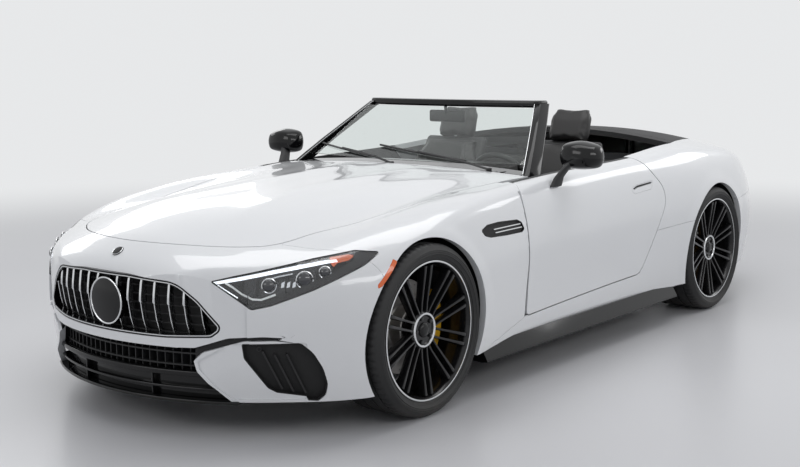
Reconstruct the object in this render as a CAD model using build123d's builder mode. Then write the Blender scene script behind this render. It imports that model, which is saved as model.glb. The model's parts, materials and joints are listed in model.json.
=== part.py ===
from build123d import *
import os
from math import atan2, cos, pi, radians, sin, sqrt, tan

os.makedirs("parts", exist_ok=True)

# Frame: +X forward, +Y to the driver's left, +Z up. The origin is on the ground under the middle of the car.

# Overall size
length = 4705
width = 1915
wheelbase = 2700
front_overhang = 869
wall = 30                   # depth of the outer panels with their inner frames
lens_wall = 4
shut_gap = 5.5              # running gap round bonnet and boot lid
door_gap = 8.8              # the door is thick, so its swing needs more
lid_front_gap = 9.5
fit = 0.3                   # gap at seats, pins and eyes
cut_reach = 1400            # longer than any cut has to reach

half_width = width / 2
nose_x = length / 2
tail_x = -length / 2
front_axle_x = nose_x - front_overhang
rear_axle_x = front_axle_x - wheelbase
nose_radius = 1050          # plan curve of the nose
nose_arc_half = 500

# Panels
bonnet_nose_x = nose_x - 136
bonnet_corner_x = nose_x - 392
bonnet_corner_y = 583
bonnet_corner_radius = 70
bonnet_rear_x = 505
bonnet_rear_y = 765
bonnet_rear_bow = 45
bonnet_low_z = 650
seam_side_x = front_axle_x + 266        # fender to bumper seam where it meets the arch
door_front_x = 722
door_rear_x = -360
door_low_front = 282
door_low_rear = 322
door_inner_y = 775
sill_inner_y = 770
sill_front_x = 1040
sill_step_z = 534
belt_reach_z = 1150
cockpit_front_x = 430
cockpit_half = 768
cover_front_x = -1030
cover_half_front = 735
cover_half_rear = 590
lid_front_x = -1580
lid_half = 590
lid_low_z = 735
bumper_rear_seam_x = -1560
bumper_rear_seam_z = 600

# Wheels: each axle with its tyre radius, tyre width, middle of the tread from the centre plane
front_tyre_radius = 352
front_tyre_width = 275
front_wheel_y = 810.5
rear_tyre_radius = 350
rear_tyre_width = 305
rear_wheel_y = 797.5
shoulder_in = 14            # the tyre's shoulder, in from its side and down from its tread
shoulder_down = 8
arch_radius = 375
sweep_clearance = 6         # room round the steered tyre
sweep_outer_y = 885         # further out the steered tyre stays inside the arch
rear_liner_radius = 402
liner_wall = 4
front_liner_inner_y = 470
rear_liner_inner_y = 615
rim_radius = 283
seat_radius = 275
barrel_wall = 12
spoke_pairs = 10
spoke_width = 13
spoke_depth = 28
hub_radius = 72
stub_radius = 25
disc_radius = 195
disc_thickness = 32
kingpin_y = 740
kingpin_radius = 8
kingpin_eye = 14
kingpin_half = 130
shoulder_y = front_wheel_y - kingpin_y + front_tyre_width / 2 - shoulder_in
front_sweep_radius = sqrt((front_tyre_radius - shoulder_down) ** 2 + shoulder_y ** 2) + sweep_clearance
front_liner_radius = front_sweep_radius + fit

# Joints
door_hinge_x = door_front_x - 45
door_hinge_y = 870
door_hinge_z = (400, 720)
door_pin_radius = 8
bonnet_hinge_x = 478
bonnet_hinge_z = 888
bonnet_hinge_y = 600
lid_hinge_x = lid_front_x + 100
lid_hinge_z = 948
lid_hinge_y = 250
lid_neck_drop = 100
lid_pin_radius = 7
lid_arm = 24
bonnet_arm = 14
bracket_wall = 12
bracket_gap = 3
bonnet_eye = 13
bonnet_pin_radius = 6
cowl_half = 718
slat_pairs = 7
slat_first_y = 58
slat_pitch = 61.5
slat_width = 11
emblem_z = 503
emblem_radius = 95
splitter_z = 138
screen_base_x = 500
screen_base_y = 765
screen_base_z = 884
screen_glass_low_z = 926
screen_top_x = 55
screen_top_y = 540
screen_top_z = 1210
header_bow = 60
header_depth = 85
header_height = 38
glass_bow = 115
glass_low_half = 690
glass_top_half = 545
glass_thickness = 6
mirror_x = 320
mirror_y = 950
mirror_z = 975
mirror_width = 200
mirror_height = 125
mirror_foot_z = 820
tail_lamp_inner_y = 250
exhaust_y = (290, 410)
exhaust_z = 252
tail_cut_half = 480
tail_cut_z = 300
diffuser_half = 225
floor_z = 150
floor_wall = 22
jack_pad_x = (700, -620)
jack_pad_y = 720
jack_pad_z = 138
plate_z = 480
plate_hole_pitch = 178
plate_hole_radius = 3
firewall_x = 900
tunnel_half = 130
tunnel_height = 210
tunnel_length = 1950
tunnel_wall = 12
engine_x = 950
engine_length = 600
front_hub_y = 850
rear_hub_y = 845
front_disc_y = 775
rear_disc_y = 770
caliper_half = 42
caliper_outer = 232
caliper_inner = 125
caliper_reach = 34
spoke_spread = 7
spoke_length = 225
seat_y = 375
seat_width = 480
headrest_width = 260
dash_half = 700
dash_screen_x = 262
column_radius = 26
column_start = 82
column_length = 90
hinge_notch_rear = 24
hinge_notch_out = 22
hinge_notch_height = 54
door_pin_length = 84
steering_x = 130
steering_y = 375
steering_z = 780
steering_tilt = 22
steering_radius = 178

# Cross-sections of the body, nose to tail. Each half is four tangent arcs: lower flank, side, shoulder, crown.
# x, y_low, z_low, y_wide, z_wide, side_radius, z_crown, crown_radius, shoulder_radius
stations = [
    (nose_x, 190, 165, 240, 400, 600, 560, 1500, 60),
    (nose_x - 27, 300, 158, 350, 420, 600, 640, 1500, 80),
    (nose_x - 117, 450, 150, 510, 440, 700, 716, 1600, 110),
    (nose_x - 282, 660, 145, 725, 450, 800, 778, 1900, 150),
    (front_axle_x + 337, 885, 148, half_width - 35, 460, 900, 832, 2700, 160),
    (front_axle_x, 925, 180, half_width - 7, 480, 900, 862, 4700, 120),
    (door_front_x, 890, 180, half_width - 37, 520, 900, 905, 9000, 90),
    (-330, 890, 190, half_width - 35, 580, 800, 960, 6000, 90),
    (rear_axle_x, 915, 195, half_width, 600, 560, 1020, 3600, 120),
    (rear_axle_x - 533, 860, 190, half_width - 52, 550, 530, 972, 3000, 120),
    (tail_x + 302, 750, 180, half_width - 162, 510, 500, 900, 2400, 110),
    (tail_x + 102, 620, 190, half_width - 287, 500, 500, 838, 2200, 90),
    (tail_x, 450, 210, 500, 510, 520, 785, 2000, 80),
]
even_first = 4              # between these two rows the loft's sections are evenly spaced
even_last = 9
even_count = 14


def body_section(station, inset=0, shift=0, floor=None):
    """One closed cross-section, drawn inset from the outer skin and moved along X."""
    x, y_low, z_low, y_wide, z_wide, side_radius, z_crown, crown_radius, shoulder_radius = station
    low_radius = ((y_wide - y_low) ** 2 + (z_wide - z_low) ** 2) / (2 * (y_wide - y_low))
    low_centre = (y_wide - low_radius, z_wide)
    side_centre = (y_wide - side_radius, z_wide)
    crown_centre = (0, z_crown - crown_radius)
    across = -side_centre[0]
    up = crown_centre[1] - side_centre[1]
    apart = sqrt(across ** 2 + up ** 2)
    to_side = side_radius - shoulder_radius
    to_crown = crown_radius - shoulder_radius
    along = (to_side ** 2 - to_crown ** 2 + apart ** 2) / (2 * apart)
    off = sqrt(to_side ** 2 - along ** 2)
    foot = (side_centre[0] + along * across / apart, side_centre[1] + along * up / apart)
    shoulder_centre = max(
        (foot[0] - off * up / apart, foot[1] + off * across / apart),
        (foot[0] + off * up / apart, foot[1] - off * across / apart),
    )
    low_angle = atan2(z_low - low_centre[1], y_low - low_centre[0])
    side_angle = atan2(shoulder_centre[1] - side_centre[1], shoulder_centre[0] - side_centre[0])
    crown_angle = atan2(shoulder_centre[1] - crown_centre[1], shoulder_centre[0] - crown_centre[0])
    flank = [
        (low_centre, low_radius, low_angle, 0),
        (side_centre, side_radius, 0, side_angle),
        (shoulder_centre, shoulder_radius, side_angle, crown_angle),
    ]

    def spot(centre, radius, angle, side=1):
        reach = radius - inset
        return (side * (centre[0] + reach * cos(angle)), centre[1] + reach * sin(angle))

    with BuildSketch(Plane.YZ.offset(x + shift)) as section:
        with BuildLine():
            for side in (1, -1):
                for centre, radius, start, end in flank:
                    middle = (start + end) / 2
                    ends = [spot(centre, radius, angle, side) for angle in (start, middle, end)]
                    ThreePointArc(*ends)
            crown_arc = [spot(crown_centre, crown_radius, a) for a in (crown_angle, pi / 2, pi - crown_angle)]
            ThreePointArc(*crown_arc)
            low = spot(low_centre, low_radius, low_angle)
            if floor is None:
                Line(low, (-low[0], low[1]))
            else:
                Polyline(low, (low[0], floor), (-low[0], floor), (-low[0], low[1]))
        make_face()
    return section.sketch


def slopes(index):
    """How fast each column of the table changes along X at one station."""
    ahead, here, behind = stations[index - 1:index + 2]
    step_ahead = ahead[0] - here[0]
    step_behind = here[0] - behind[0]
    return [
        ((a - h) / step_ahead * step_behind + (h - b) / step_behind * step_ahead) / (step_ahead + step_behind)
        for a, h, b in zip(ahead, here, behind)
    ]


def station_at(x):
    """The table's columns at any X between the stations, blended without a kink."""
    index = max(i for i, station in enumerate(stations[:-1]) if station[0] >= x)
    start, end = stations[index], stations[index + 1]
    step = end[0] - start[0]
    t = (x - start[0]) / step
    columns = zip(start, end, slopes(index), slopes(index + 1))
    return [
        a + t * t * (3 - 2 * t) * (b - a) + step * t * (1 - t) * ((1 - t) * slope_a - t * slope_b)
        for a, b, slope_a, slope_b in columns
    ]


def even_stations():
    """Stations as the loft needs them: the table's own at nose and tail, evenly spaced ones between."""
    first, last = stations[even_first], stations[even_last]
    step = (last[0] - first[0]) / even_count
    between = [station_at(first[0] + step * index) for index in range(1, even_count)]
    return [*stations[:even_first + 1], *between, *stations[even_last:]]


def body_loft(depth, floor=None):
    """Sections moved inwards, square to the plan outline, by a depth."""
    sections = []
    stations = even_stations()
    for index, station in enumerate(stations):
        ahead = stations[max(index - 1, 0)]
        behind = stations[min(index + 1, len(stations) - 1)]
        turn = atan2(ahead[3] - behind[3], ahead[0] - behind[0])
        sections.append(body_section(station, depth * cos(turn), depth * sin(turn), floor))
    return sections


def nose_trim(depth):
    """What lies ahead of the curved nose, in plan."""
    drop = nose_radius - sqrt(nose_radius ** 2 - nose_arc_half ** 2)
    front = nose_x - depth
    with BuildSketch(Plane.XY) as trim:
        with BuildLine():
            ThreePointArc((front - drop, -nose_arc_half), (front, 0), (front - drop, nose_arc_half))
            Polyline(
                (front - drop, nose_arc_half),
                (nose_x + wall, nose_arc_half),
                (nose_x + wall, -nose_arc_half),
                (front - drop, -nose_arc_half),
            )
        make_face()
    return trim.sketch


def bonnet_plan(gap=0):
    with BuildSketch(Plane.XY.offset(bonnet_low_z)) as plan:
        with BuildLine():
            front_left = (bonnet_corner_x, bonnet_corner_y)
            front_right = (bonnet_corner_x, -bonnet_corner_y)
            rear_left = (bonnet_rear_x, bonnet_rear_y)
            rear_right = (bonnet_rear_x, -bonnet_rear_y)
            ThreePointArc(front_right, (bonnet_nose_x, 0), front_left)
            Line(front_left, rear_left)
            ThreePointArc(rear_left, (bonnet_rear_x + bonnet_rear_bow, 0), rear_right)
            Line(rear_right, front_right)
        make_face()
        fillet(plan.vertices().group_by(Axis.X)[-1], bonnet_corner_radius)
        if gap:
            offset(amount=gap)
    return plan.sketch


def rounded_outline(plane, corners, gap=0):
    """Closed outline from corners: across, up, corner radius."""
    with BuildSketch(plane) as outline:
        with BuildLine():
            Polyline([(across, up) for across, up, radius in corners], close=True)
        make_face()
        for across, up, radius in corners:
            if radius:
                fillet(outline.vertices().sort_by_distance((across, up, 0))[0], radius)
        if gap:
            offset(amount=gap)
    return outline.sketch


def door_side(gap=0):
    corners = [
        (door_front_x, door_low_front, 25),
        (door_front_x, 862, 90),
        (door_front_x - 250, 935, 0),
        (door_front_x - 250, belt_reach_z, 0),
        (door_rear_x + 60, belt_reach_z, 0),
        (door_rear_x - 50, 925, 120),
        (door_rear_x - 262, 715, 110),
        (door_rear_x, door_low_rear, 90),
    ]
    return rounded_outline(Plane.XZ, corners, gap)


def rocker_side(gap=0):
    corners = [
        (sill_front_x, 120, 0),
        (sill_front_x, 199, 0),
        (door_front_x, door_low_front, 0),
        (door_rear_x, door_low_rear, 0),
        (door_rear_x - 60, sill_step_z - 6, 0),
        (rear_axle_x, sill_step_z + 20, 0),
        (rear_axle_x, 120, 0),
    ]
    return rounded_outline(Plane.XZ, corners, gap)


def cockpit_plan(rear_x):
    """The opening of the cockpit and of the folded roof's cover."""
    corners = [
        (rear_x, -cover_half_rear, 0),
        (cover_front_x, -cover_half_front, 0),
        (door_rear_x, -cockpit_half, 0),
        (cockpit_front_x, -cockpit_half, 0),
        (cockpit_front_x, cockpit_half, 0),
        (door_rear_x, cockpit_half, 0),
        (cover_front_x, cover_half_front, 0),
        (rear_x, cover_half_rear, 0),
    ]
    return rounded_outline(Plane.XY.offset(bonnet_low_z), corners)


def rear_bumper_side():
    corners = [
        (bumper_rear_seam_x + 200, 60, 0),
        (bumper_rear_seam_x + 200, bumper_rear_seam_z, 0),
        (tail_x + 270, bumper_rear_seam_z + 40, 0),
        (tail_x + 270, lid_low_z - shut_gap, 0),
        (tail_x - wall, lid_low_z - shut_gap, 0),
        (tail_x - wall, 60, 0),
    ]
    return rounded_outline(Plane.XZ, corners)


def lid_plan(gap=0):
    corners = [
        (lid_front_x, -lid_half, 0),
        (tail_x - wall, -lid_half, 0),
        (tail_x - wall, lid_half, 0),
        (lid_front_x, lid_half, 0),
    ]
    return rounded_outline(Plane.XY.offset(lid_low_z - gap), corners, gap)


def nose_half_plan():
    """Plan of the front bumper: ahead of the bonnet's edge and of the seam to the fender."""
    corners = [
        (bonnet_corner_x - 120, 0, 0),
        (bonnet_corner_x - 120, bonnet_corner_y - 40, 0),
        (bonnet_corner_x, bonnet_corner_y, 0),
        (seam_side_x, half_width + 20, 0),
        (nose_x + 20, half_width + 20, 0),
        (nose_x + 20, 0, 0),
    ]
    return rounded_outline(Plane.XY.offset(100), corners)


lamp_turn = 50              # the lamp and the side intake look this far out from straight ahead
lamp_plane = Plane(
    origin=(0, 0, 0),
    x_dir=(-sin(radians(lamp_turn)), cos(radians(lamp_turn)), 0),
    z_dir=(cos(radians(lamp_turn)), sin(radians(lamp_turn)), 0),
)
# across the lamp plane, up, corner radius
lamp_corners = [
    (-1394, 615, 8),
    (-1240, 508, 22),
    (-1060, 560, 120),
    (-765, 706, 6),
    (-900, 712, 120),
    (-1200, 680, 160),
]
intake_corners = [
    (-1262, 345, 10),
    (-1250, 375, 12),
    (-1060, 380, 40),
    (-992, 290, 40),
    (-985, 195, 20),
    (-1040, 172, 20),
    (-1190, 262, 60),
]
# across the side, up, corner radius
vent_corners = [
    (1138, 722, 8),
    (1060, 741, 40),
    (812, 732, 16),
    (782, 700, 16),
    (830, 677, 16),
    (1092, 690, 16),
]
vent_slot_z = (694, 706, 718)
vent_slot_height = 6
vent_slot_x = (842, 1060)
handle_corners = [
    (-218, 752, 12),
    (-222, 782, 12),
    (-440, 797, 10),
    (-432, 756, 16),
]
grip_corners = [
    (-228, 771, 4),
    (-230, 781, 4),
    (-434, 795, 4),
    (-434, 783, 4),
]
handle_groove = 2
# across, up, corner radius
grille_corners = [
    (-540, 455, 50),
    (-350, 622, 90),
    (350, 622, 90),
    (540, 455, 50),
    (230, 384, 250),
    (-230, 384, 250),
]
mouth_corners = [
    (-405, 354, 20),
    (405, 354, 20),
    (530, 100, 0),
    (-530, 100, 0),
]

# ---------------------------------------------------------------- outer skin

with BuildPart() as hull:
    loft(body_loft(0))
    extrude(nose_trim(0), amount=cut_reach, mode=Mode.SUBTRACT)

with BuildPart() as cavity:
    loft(body_loft(wall, floor=60))
    extrude(nose_trim(wall), amount=cut_reach, mode=Mode.SUBTRACT)

with BuildPart() as lens_cavity:
    loft(body_loft(lens_wall, floor=60))

with BuildPart() as skin:
    add(hull.part)
    add(cavity.part, mode=Mode.SUBTRACT)

with BuildPart() as lens_skin:
    add(hull.part)
    add(lens_cavity.part, mode=Mode.SUBTRACT)

with BuildPart() as left_skin:
    add(skin.part)
    with Locations((0, half_width, 0)):
        Box(3 * length, width, 3 * width, mode=Mode.INTERSECT)


def save(piece, name):
    piece.part.label = name
    export_step(piece.part, f"parts/{name}.step")


def mirrored(piece):
    with BuildPart() as other:
        mirror(piece.part, about=Plane.XZ)
    return other


def wheel_cylinder(axle_x, hub_z, radius, inner_y, outer_y):
    """A round cutter about one axle on the left side."""
    with BuildPart() as cutter:
        with BuildSketch(Plane.XZ.offset(-inner_y)):
            with Locations((axle_x, hub_z)):
                Circle(radius)
        extrude(amount=inner_y - outer_y)
    return cutter.part


def door_clearance(radius):
    with BuildPart() as cutter:
        with BuildSketch(Plane.XY.offset(door_low_front - 40)):
            with Locations((door_hinge_x, door_hinge_y)):
                Circle(radius)
        extrude(amount=880 - door_low_front)
    return cutter.part


front_arch = wheel_cylinder(front_axle_x, front_tyre_radius, arch_radius, 600, 1100)
front_sweep = wheel_cylinder(front_axle_x, front_tyre_radius, front_sweep_radius, 500, sweep_outer_y)
rear_arch = wheel_cylinder(rear_axle_x, rear_tyre_radius, arch_radius, 600, 1100)
swing_radius = sqrt((door_front_x - door_hinge_x) ** 2 + (stations[6][3] - door_hinge_y) ** 2)

# ---------------------------------------------------------------- panels

def lamp_cut(corners, gap=0):
    """A cutter along the lamp's own direction, on the left side."""
    with BuildPart() as cutter:
        extrude(rounded_outline(lamp_plane.offset(1400), corners, gap), amount=900)
    return cutter.part


def side_cut(corners, gap=0):
    """A cutter straight out through the left side."""
    with BuildPart() as cutter:
        extrude(rounded_outline(Plane.XZ, corners, gap), amount=-cut_reach)
    return cutter.part


headlamp_cut = lamp_cut(lamp_corners)
intake_cut = lamp_cut(intake_corners)
vent_cut = side_cut(vent_corners)

tail_lamp_corners = [
    (tail_x + 250, 640, 0),
    (tail_x + 250, 648, 0),
    (tail_x + 120, 722, 0),
    (tail_x - wall, 722, 0),
    (tail_x - wall, 650, 0),
]
with BuildPart() as tail_lamp_cutter:
    extrude(rounded_outline(Plane.XZ, tail_lamp_corners), amount=-cut_reach)
    with Locations((tail_x, tail_lamp_inner_y - 500, 700)):
        Box(1200, 1000, 400, mode=Mode.SUBTRACT)
tail_lamp_cut = tail_lamp_cutter.part

with BuildPart() as bonnet:
    add(skin.part)
    extrude(bonnet_plan(), amount=cut_reach, mode=Mode.INTERSECT)
    for side in (1, -1):
        with BuildSketch(Plane.XZ.offset(-side * bonnet_hinge_y - bonnet_arm / 2)):
            with BuildLine():
                Polyline(
                    (bonnet_rear_x + 90, bonnet_hinge_z + 2),
                    (bonnet_rear_x + 90, bonnet_hinge_z - 24),
                    (bonnet_hinge_x, bonnet_hinge_z - bonnet_eye),
                    (bonnet_hinge_x, bonnet_hinge_z + bonnet_eye),
                    close=True,
                )
            make_face()
            with Locations((bonnet_hinge_x, bonnet_hinge_z)):
                Circle(bonnet_eye)
                Circle(bonnet_pin_radius + fit, mode=Mode.SUBTRACT)
        extrude(amount=bonnet_arm)

with BuildPart() as boot_lid:
    add(skin.part)
    extrude(lid_plan(), amount=cut_reach, mode=Mode.INTERSECT)
    for side in (1, -1):
        with BuildSketch(Plane.XZ.offset(-side * lid_hinge_y - lid_arm / 2)):
            with BuildLine():
                neck = Polyline(
                    (lid_hinge_x, lid_hinge_z),
                    (lid_hinge_x, lid_hinge_z - lid_neck_drop),
                    (lid_front_x - 60, lid_hinge_z - lid_neck_drop),
                    (lid_front_x - 60, lid_hinge_z),
                )
                offset(neck, amount=lid_arm / 2)
            make_face()
            with Locations((lid_hinge_x, lid_hinge_z)):
                Circle(lid_pin_radius + fit, mode=Mode.SUBTRACT)
        extrude(amount=lid_arm)

with BuildPart() as roof_cover:
    add(skin.part)
    extrude(cockpit_plan(lid_front_x + lid_front_gap), amount=cut_reach, mode=Mode.INTERSECT)
    with Locations((cover_front_x - length, 0, 0)):
        Box(2 * length, 2 * width, 4 * width, mode=Mode.INTERSECT)

with BuildPart() as cowl_blank:
    add(skin.part)
    with Locations(((cockpit_front_x + bonnet_rear_x) / 2 + 30, 0, 900)):
        Box(bonnet_rear_x - cockpit_front_x + 60, 2 * cowl_half, 260, mode=Mode.INTERSECT)
    extrude(bonnet_plan(shut_gap), amount=cut_reach, mode=Mode.SUBTRACT)
    with Locations(*[(bonnet_hinge_x + 40, side * bonnet_hinge_y, 900) for side in (1, -1)]):
        Box(130, bonnet_arm + 2 * bracket_wall + 4 * bracket_gap, 300, mode=Mode.SUBTRACT)

with BuildPart() as handle_relief:
    add(side_cut(handle_corners, handle_groove))
    add(side_cut(handle_corners), mode=Mode.SUBTRACT)
    add(lens_skin.part, mode=Mode.INTERSECT)

with BuildPart() as grip_relief:
    add(side_cut(grip_corners))
    add(left_skin.part, mode=Mode.INTERSECT)

with BuildPart() as door_left:
    add(hull.part)
    with Locations((0, door_inner_y + half_width, 0)):
        Box(3 * length, width, 3 * width, mode=Mode.INTERSECT)
    extrude(door_side(), amount=-cut_reach, mode=Mode.INTERSECT)
    with BuildSketch(Plane.XY):
        with Locations((door_hinge_x + cut_reach / 2, door_hinge_y)):
            Rectangle(cut_reach, cut_reach)
        with Locations((door_hinge_x, door_hinge_y)):
            Circle(swing_radius, mode=Mode.SUBTRACT)
        with Locations((door_hinge_x - 200, door_hinge_y)):
            Rectangle(400, cut_reach, mode=Mode.SUBTRACT)
    extrude(amount=870, mode=Mode.SUBTRACT)
    add(handle_relief.part, mode=Mode.SUBTRACT)
    add(grip_relief.part, mode=Mode.SUBTRACT)
    for z in door_hinge_z:
        with Locations((door_hinge_x - hinge_notch_rear, door_inner_y - 10, z)):
            Box(
                150,
                door_hinge_y + hinge_notch_out - door_inner_y + 10,
                hinge_notch_height,
                align=(Align.MIN, Align.MIN, Align.CENTER),
                mode=Mode.SUBTRACT,
            )
        with Locations((door_hinge_x, door_hinge_y, z)):
            Cylinder(door_pin_radius + fit, door_pin_length + 2 * fit, mode=Mode.SUBTRACT)

with BuildPart() as fender_left:
    add(left_skin.part)
    with Locations(((front_axle_x + 400 + door_front_x - 160) / 2, half_width, 0)):
        Box(front_axle_x + 400 - door_front_x + 160, width, 4 * width, mode=Mode.INTERSECT)
    extrude(bonnet_plan(shut_gap), amount=cut_reach, mode=Mode.SUBTRACT)
    extrude(nose_half_plan(), amount=cut_reach, mode=Mode.SUBTRACT)
    extrude(door_side(door_gap), amount=-cut_reach, mode=Mode.SUBTRACT)
    extrude(rocker_side(), amount=-cut_reach, mode=Mode.SUBTRACT)
    add(front_arch, mode=Mode.SUBTRACT)
    add(front_sweep, mode=Mode.SUBTRACT)
    add(headlamp_cut, mode=Mode.SUBTRACT)
    add(vent_cut, mode=Mode.SUBTRACT)
    add(door_clearance(swing_radius + door_gap), mode=Mode.SUBTRACT)
    with Locations((door_front_x - 200, 0, 700)):
        Box(400, 2 * cockpit_half, 1000, mode=Mode.SUBTRACT)
    with Locations((front_axle_x + 500, half_width, 0)):
        Box(1000, width, 600, mode=Mode.SUBTRACT)

with BuildPart() as quarter_left:
    add(left_skin.part)
    with Locations((door_rear_x + 60 - length / 2, half_width, sill_step_z - 100 + width)):
        Box(length, width, 2 * width, mode=Mode.INTERSECT)
    extrude(door_side(door_gap), amount=-cut_reach, mode=Mode.SUBTRACT)
    extrude(rocker_side(), amount=-cut_reach, mode=Mode.SUBTRACT)
    extrude(cockpit_plan(lid_front_x - 30), amount=cut_reach, mode=Mode.SUBTRACT)
    extrude(lid_plan(shut_gap), amount=cut_reach, mode=Mode.SUBTRACT)
    extrude(rear_bumper_side(), amount=-cut_reach, mode=Mode.SUBTRACT)
    add(rear_arch, mode=Mode.SUBTRACT)

with BuildPart() as rear_bumper:
    add(skin.part)
    extrude(rear_bumper_side(), amount=-cut_reach, both=True, mode=Mode.INTERSECT)
    add(rear_arch, mode=Mode.SUBTRACT)
    mirror(rear_arch, about=Plane.XZ, mode=Mode.SUBTRACT)
    add(tail_lamp_cut, mode=Mode.SUBTRACT)
    mirror(tail_lamp_cut, about=Plane.XZ, mode=Mode.SUBTRACT)
    with Locations((tail_x, 0, tail_cut_z / 2)):
        Box(2 * wall + 20, 2 * tail_cut_half, tail_cut_z, mode=Mode.SUBTRACT)
    with Locations(*[(tail_x, side * plate_hole_pitch / 2, plate_z) for side in (1, -1)]):
        Cylinder(plate_hole_radius, 4 * wall, rotation=(0, 90, 0), mode=Mode.SUBTRACT)

with BuildPart() as front_bumper:
    add(left_skin.part)
    extrude(nose_half_plan(), amount=cut_reach, mode=Mode.INTERSECT)
    extrude(bonnet_plan(shut_gap), amount=cut_reach, mode=Mode.SUBTRACT)
    extrude(rounded_outline(Plane.YZ, grille_corners), amount=cut_reach * 2, mode=Mode.SUBTRACT)
    extrude(rounded_outline(Plane.YZ, mouth_corners), amount=cut_reach * 2, mode=Mode.SUBTRACT)
    add(front_arch, mode=Mode.SUBTRACT)
    add(front_sweep, mode=Mode.SUBTRACT)
    add(headlamp_cut, mode=Mode.SUBTRACT)
    add(intake_cut, mode=Mode.SUBTRACT)
    mirror(about=Plane.XZ)

with BuildPart() as fender_vents:
    add(left_skin.part)
    add(vent_cut, mode=Mode.INTERSECT)
    add(lens_cavity.part, mode=Mode.INTERSECT)
    for z in vent_slot_z:
        with Locations((sum(vent_slot_x) / 2, half_width, z)):
            Box(vent_slot_x[1] - vent_slot_x[0], width, vent_slot_height, mode=Mode.SUBTRACT)
    mirror(about=Plane.XZ)

with BuildPart() as lamp_block:
    add(left_skin.part)
    add(headlamp_cut, mode=Mode.INTERSECT)

with BuildPart() as headlamps:
    add(lamp_block.part)
    add(lens_cavity.part, mode=Mode.INTERSECT)
    mirror(about=Plane.XZ)

with BuildPart() as headlamp_lenses:
    add(lamp_block.part)
    add(lens_cavity.part, mode=Mode.SUBTRACT)
    mirror(about=Plane.XZ)

with BuildPart() as sills:
    add(hull.part)
    with Locations((0, sill_inner_y + half_width, 0)):
        Box(3 * length, width, 3 * width, mode=Mode.INTERSECT)
    extrude(rocker_side(), amount=-cut_reach, mode=Mode.INTERSECT)
    extrude(door_side(door_gap), amount=-cut_reach, mode=Mode.SUBTRACT)
    add(rear_arch, mode=Mode.SUBTRACT)
    liner_room = rear_liner_radius + liner_wall + fit
    add(wheel_cylinder(rear_axle_x, rear_tyre_radius, liner_room, 600, 905), mode=Mode.SUBTRACT)
    mirror(about=Plane.XZ)

# ---------------------------------------------------------------- nose

def nose_at(y, back=0):
    """X of the curved nose at a distance from the centre plane."""
    return nose_x - back - nose_radius + sqrt((nose_radius) ** 2 - y ** 2)


def nose_band(half, back, depth, z, height):
    """A bar that follows the nose in plan."""
    with BuildPart() as band:
        with BuildSketch(Plane.XY.offset(z)):
            with BuildLine():
                front = ThreePointArc(
                    (nose_at(half, back), -half), (nose_at(0, back), 0), (nose_at(half, back), half)
                )
                rear = ThreePointArc(
                    (nose_at(half, back + depth), -half),
                    (nose_at(0, back + depth), 0),
                    (nose_at(half, back + depth), half),
                )
                Line(front @ 0, rear @ 0)
                Line(front @ 1, rear @ 1)
            make_face()
        extrude(amount=height)
    return band.part


with BuildPart() as radiator_grille:
    add(nose_band(520, 70, 14, 360, 290))
    add(nose_band(520, 14, 56, 360, 290))
    extrude(rounded_outline(Plane.YZ, grille_corners, -14), amount=cut_reach * 2, mode=Mode.SUBTRACT)
    add(nose_band(520, 70, 14, 360, 290))
    for slat in range(slat_pairs):
        for side in (1, -1):
            y = side * (slat_first_y + slat * slat_pitch)
            with Locations((nose_at(y, 12), y, 500)):
                Box(60, slat_width, 300, align=(Align.MAX, Align.CENTER, Align.CENTER))
    with BuildSketch(Plane.YZ.offset(nose_x - 70)):
        with Locations((0, emblem_z)):
            Circle(emblem_radius)
    extrude(amount=62)
    extrude(rounded_outline(Plane.YZ, grille_corners, -fit), amount=cut_reach * 2, mode=Mode.INTERSECT)

with BuildPart() as lower_intake:
    for z in (172, 226, 280, 334):
        add(nose_band(430, 60, 30, z, 12))
    for step in range(-5, 6):
        y = step * 80
        with Locations((nose_at(y, 62), y, splitter_z + 20 + fit)):
            Box(26, 10, 188, align=(Align.MAX, Align.CENTER, Align.MIN))

with BuildPart() as front_splitter:
    add(nose_band(560, 20, 150, splitter_z, 20))
    add(nose_band(480, 24, 16, splitter_z + 20, 62))
    add(front_bumper.part, mode=Mode.SUBTRACT)

with BuildPart() as side_intakes:
    add(left_skin.part)
    add(intake_cut, mode=Mode.INTERSECT)
    add(lens_cavity.part, mode=Mode.INTERSECT)
    for across in (-1200, -1140, -1080):
        with BuildSketch(lamp_plane.offset(1400)):
            with Locations((across, 280)):
                Rectangle(38, 300)
        extrude(amount=900, mode=Mode.SUBTRACT)
    mirror(about=Plane.XZ)

# ---------------------------------------------------------------- windscreen and mirrors

def pillar_section(z, front_x, rear_x, outer_y, inner_y):
    with BuildSketch(Plane.XY.offset(z)) as section:
        with BuildLine():
            Polyline((front_x, outer_y - 25), (front_x - 25, outer_y), (rear_x, outer_y - 8),
                     (rear_x, inner_y), (front_x, inner_y), close=True)
        make_face()
    return section.sketch


with BuildPart() as windscreen_frame:
    loft([
        pillar_section(screen_base_z - 34, screen_base_x, screen_base_x - 110, screen_base_y, screen_base_y - 45),
        pillar_section(screen_top_z, screen_top_x, screen_top_x - 95, screen_top_y + 20, screen_top_y - 25),
    ])
    mirror(about=Plane.XZ)
    with BuildSketch(Plane.XY.offset(screen_top_z - 30)):
        with BuildLine():
            front = ThreePointArc(
                (screen_top_x, -screen_top_y), (screen_top_x + header_bow, 0), (screen_top_x, screen_top_y)
            )
            rear = ThreePointArc(
                (screen_top_x - header_depth, -screen_top_y),
                (screen_top_x - header_depth + header_bow, 0),
                (screen_top_x - header_depth, screen_top_y),
            )
            Line(front @ 0, rear @ 0)
            Line(front @ 1, rear @ 1)
        make_face()
    extrude(amount=header_height)


with BuildPart() as cowl_panel:
    add(cowl_blank.part)
    add(windscreen_frame.part, mode=Mode.SUBTRACT)


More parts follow.
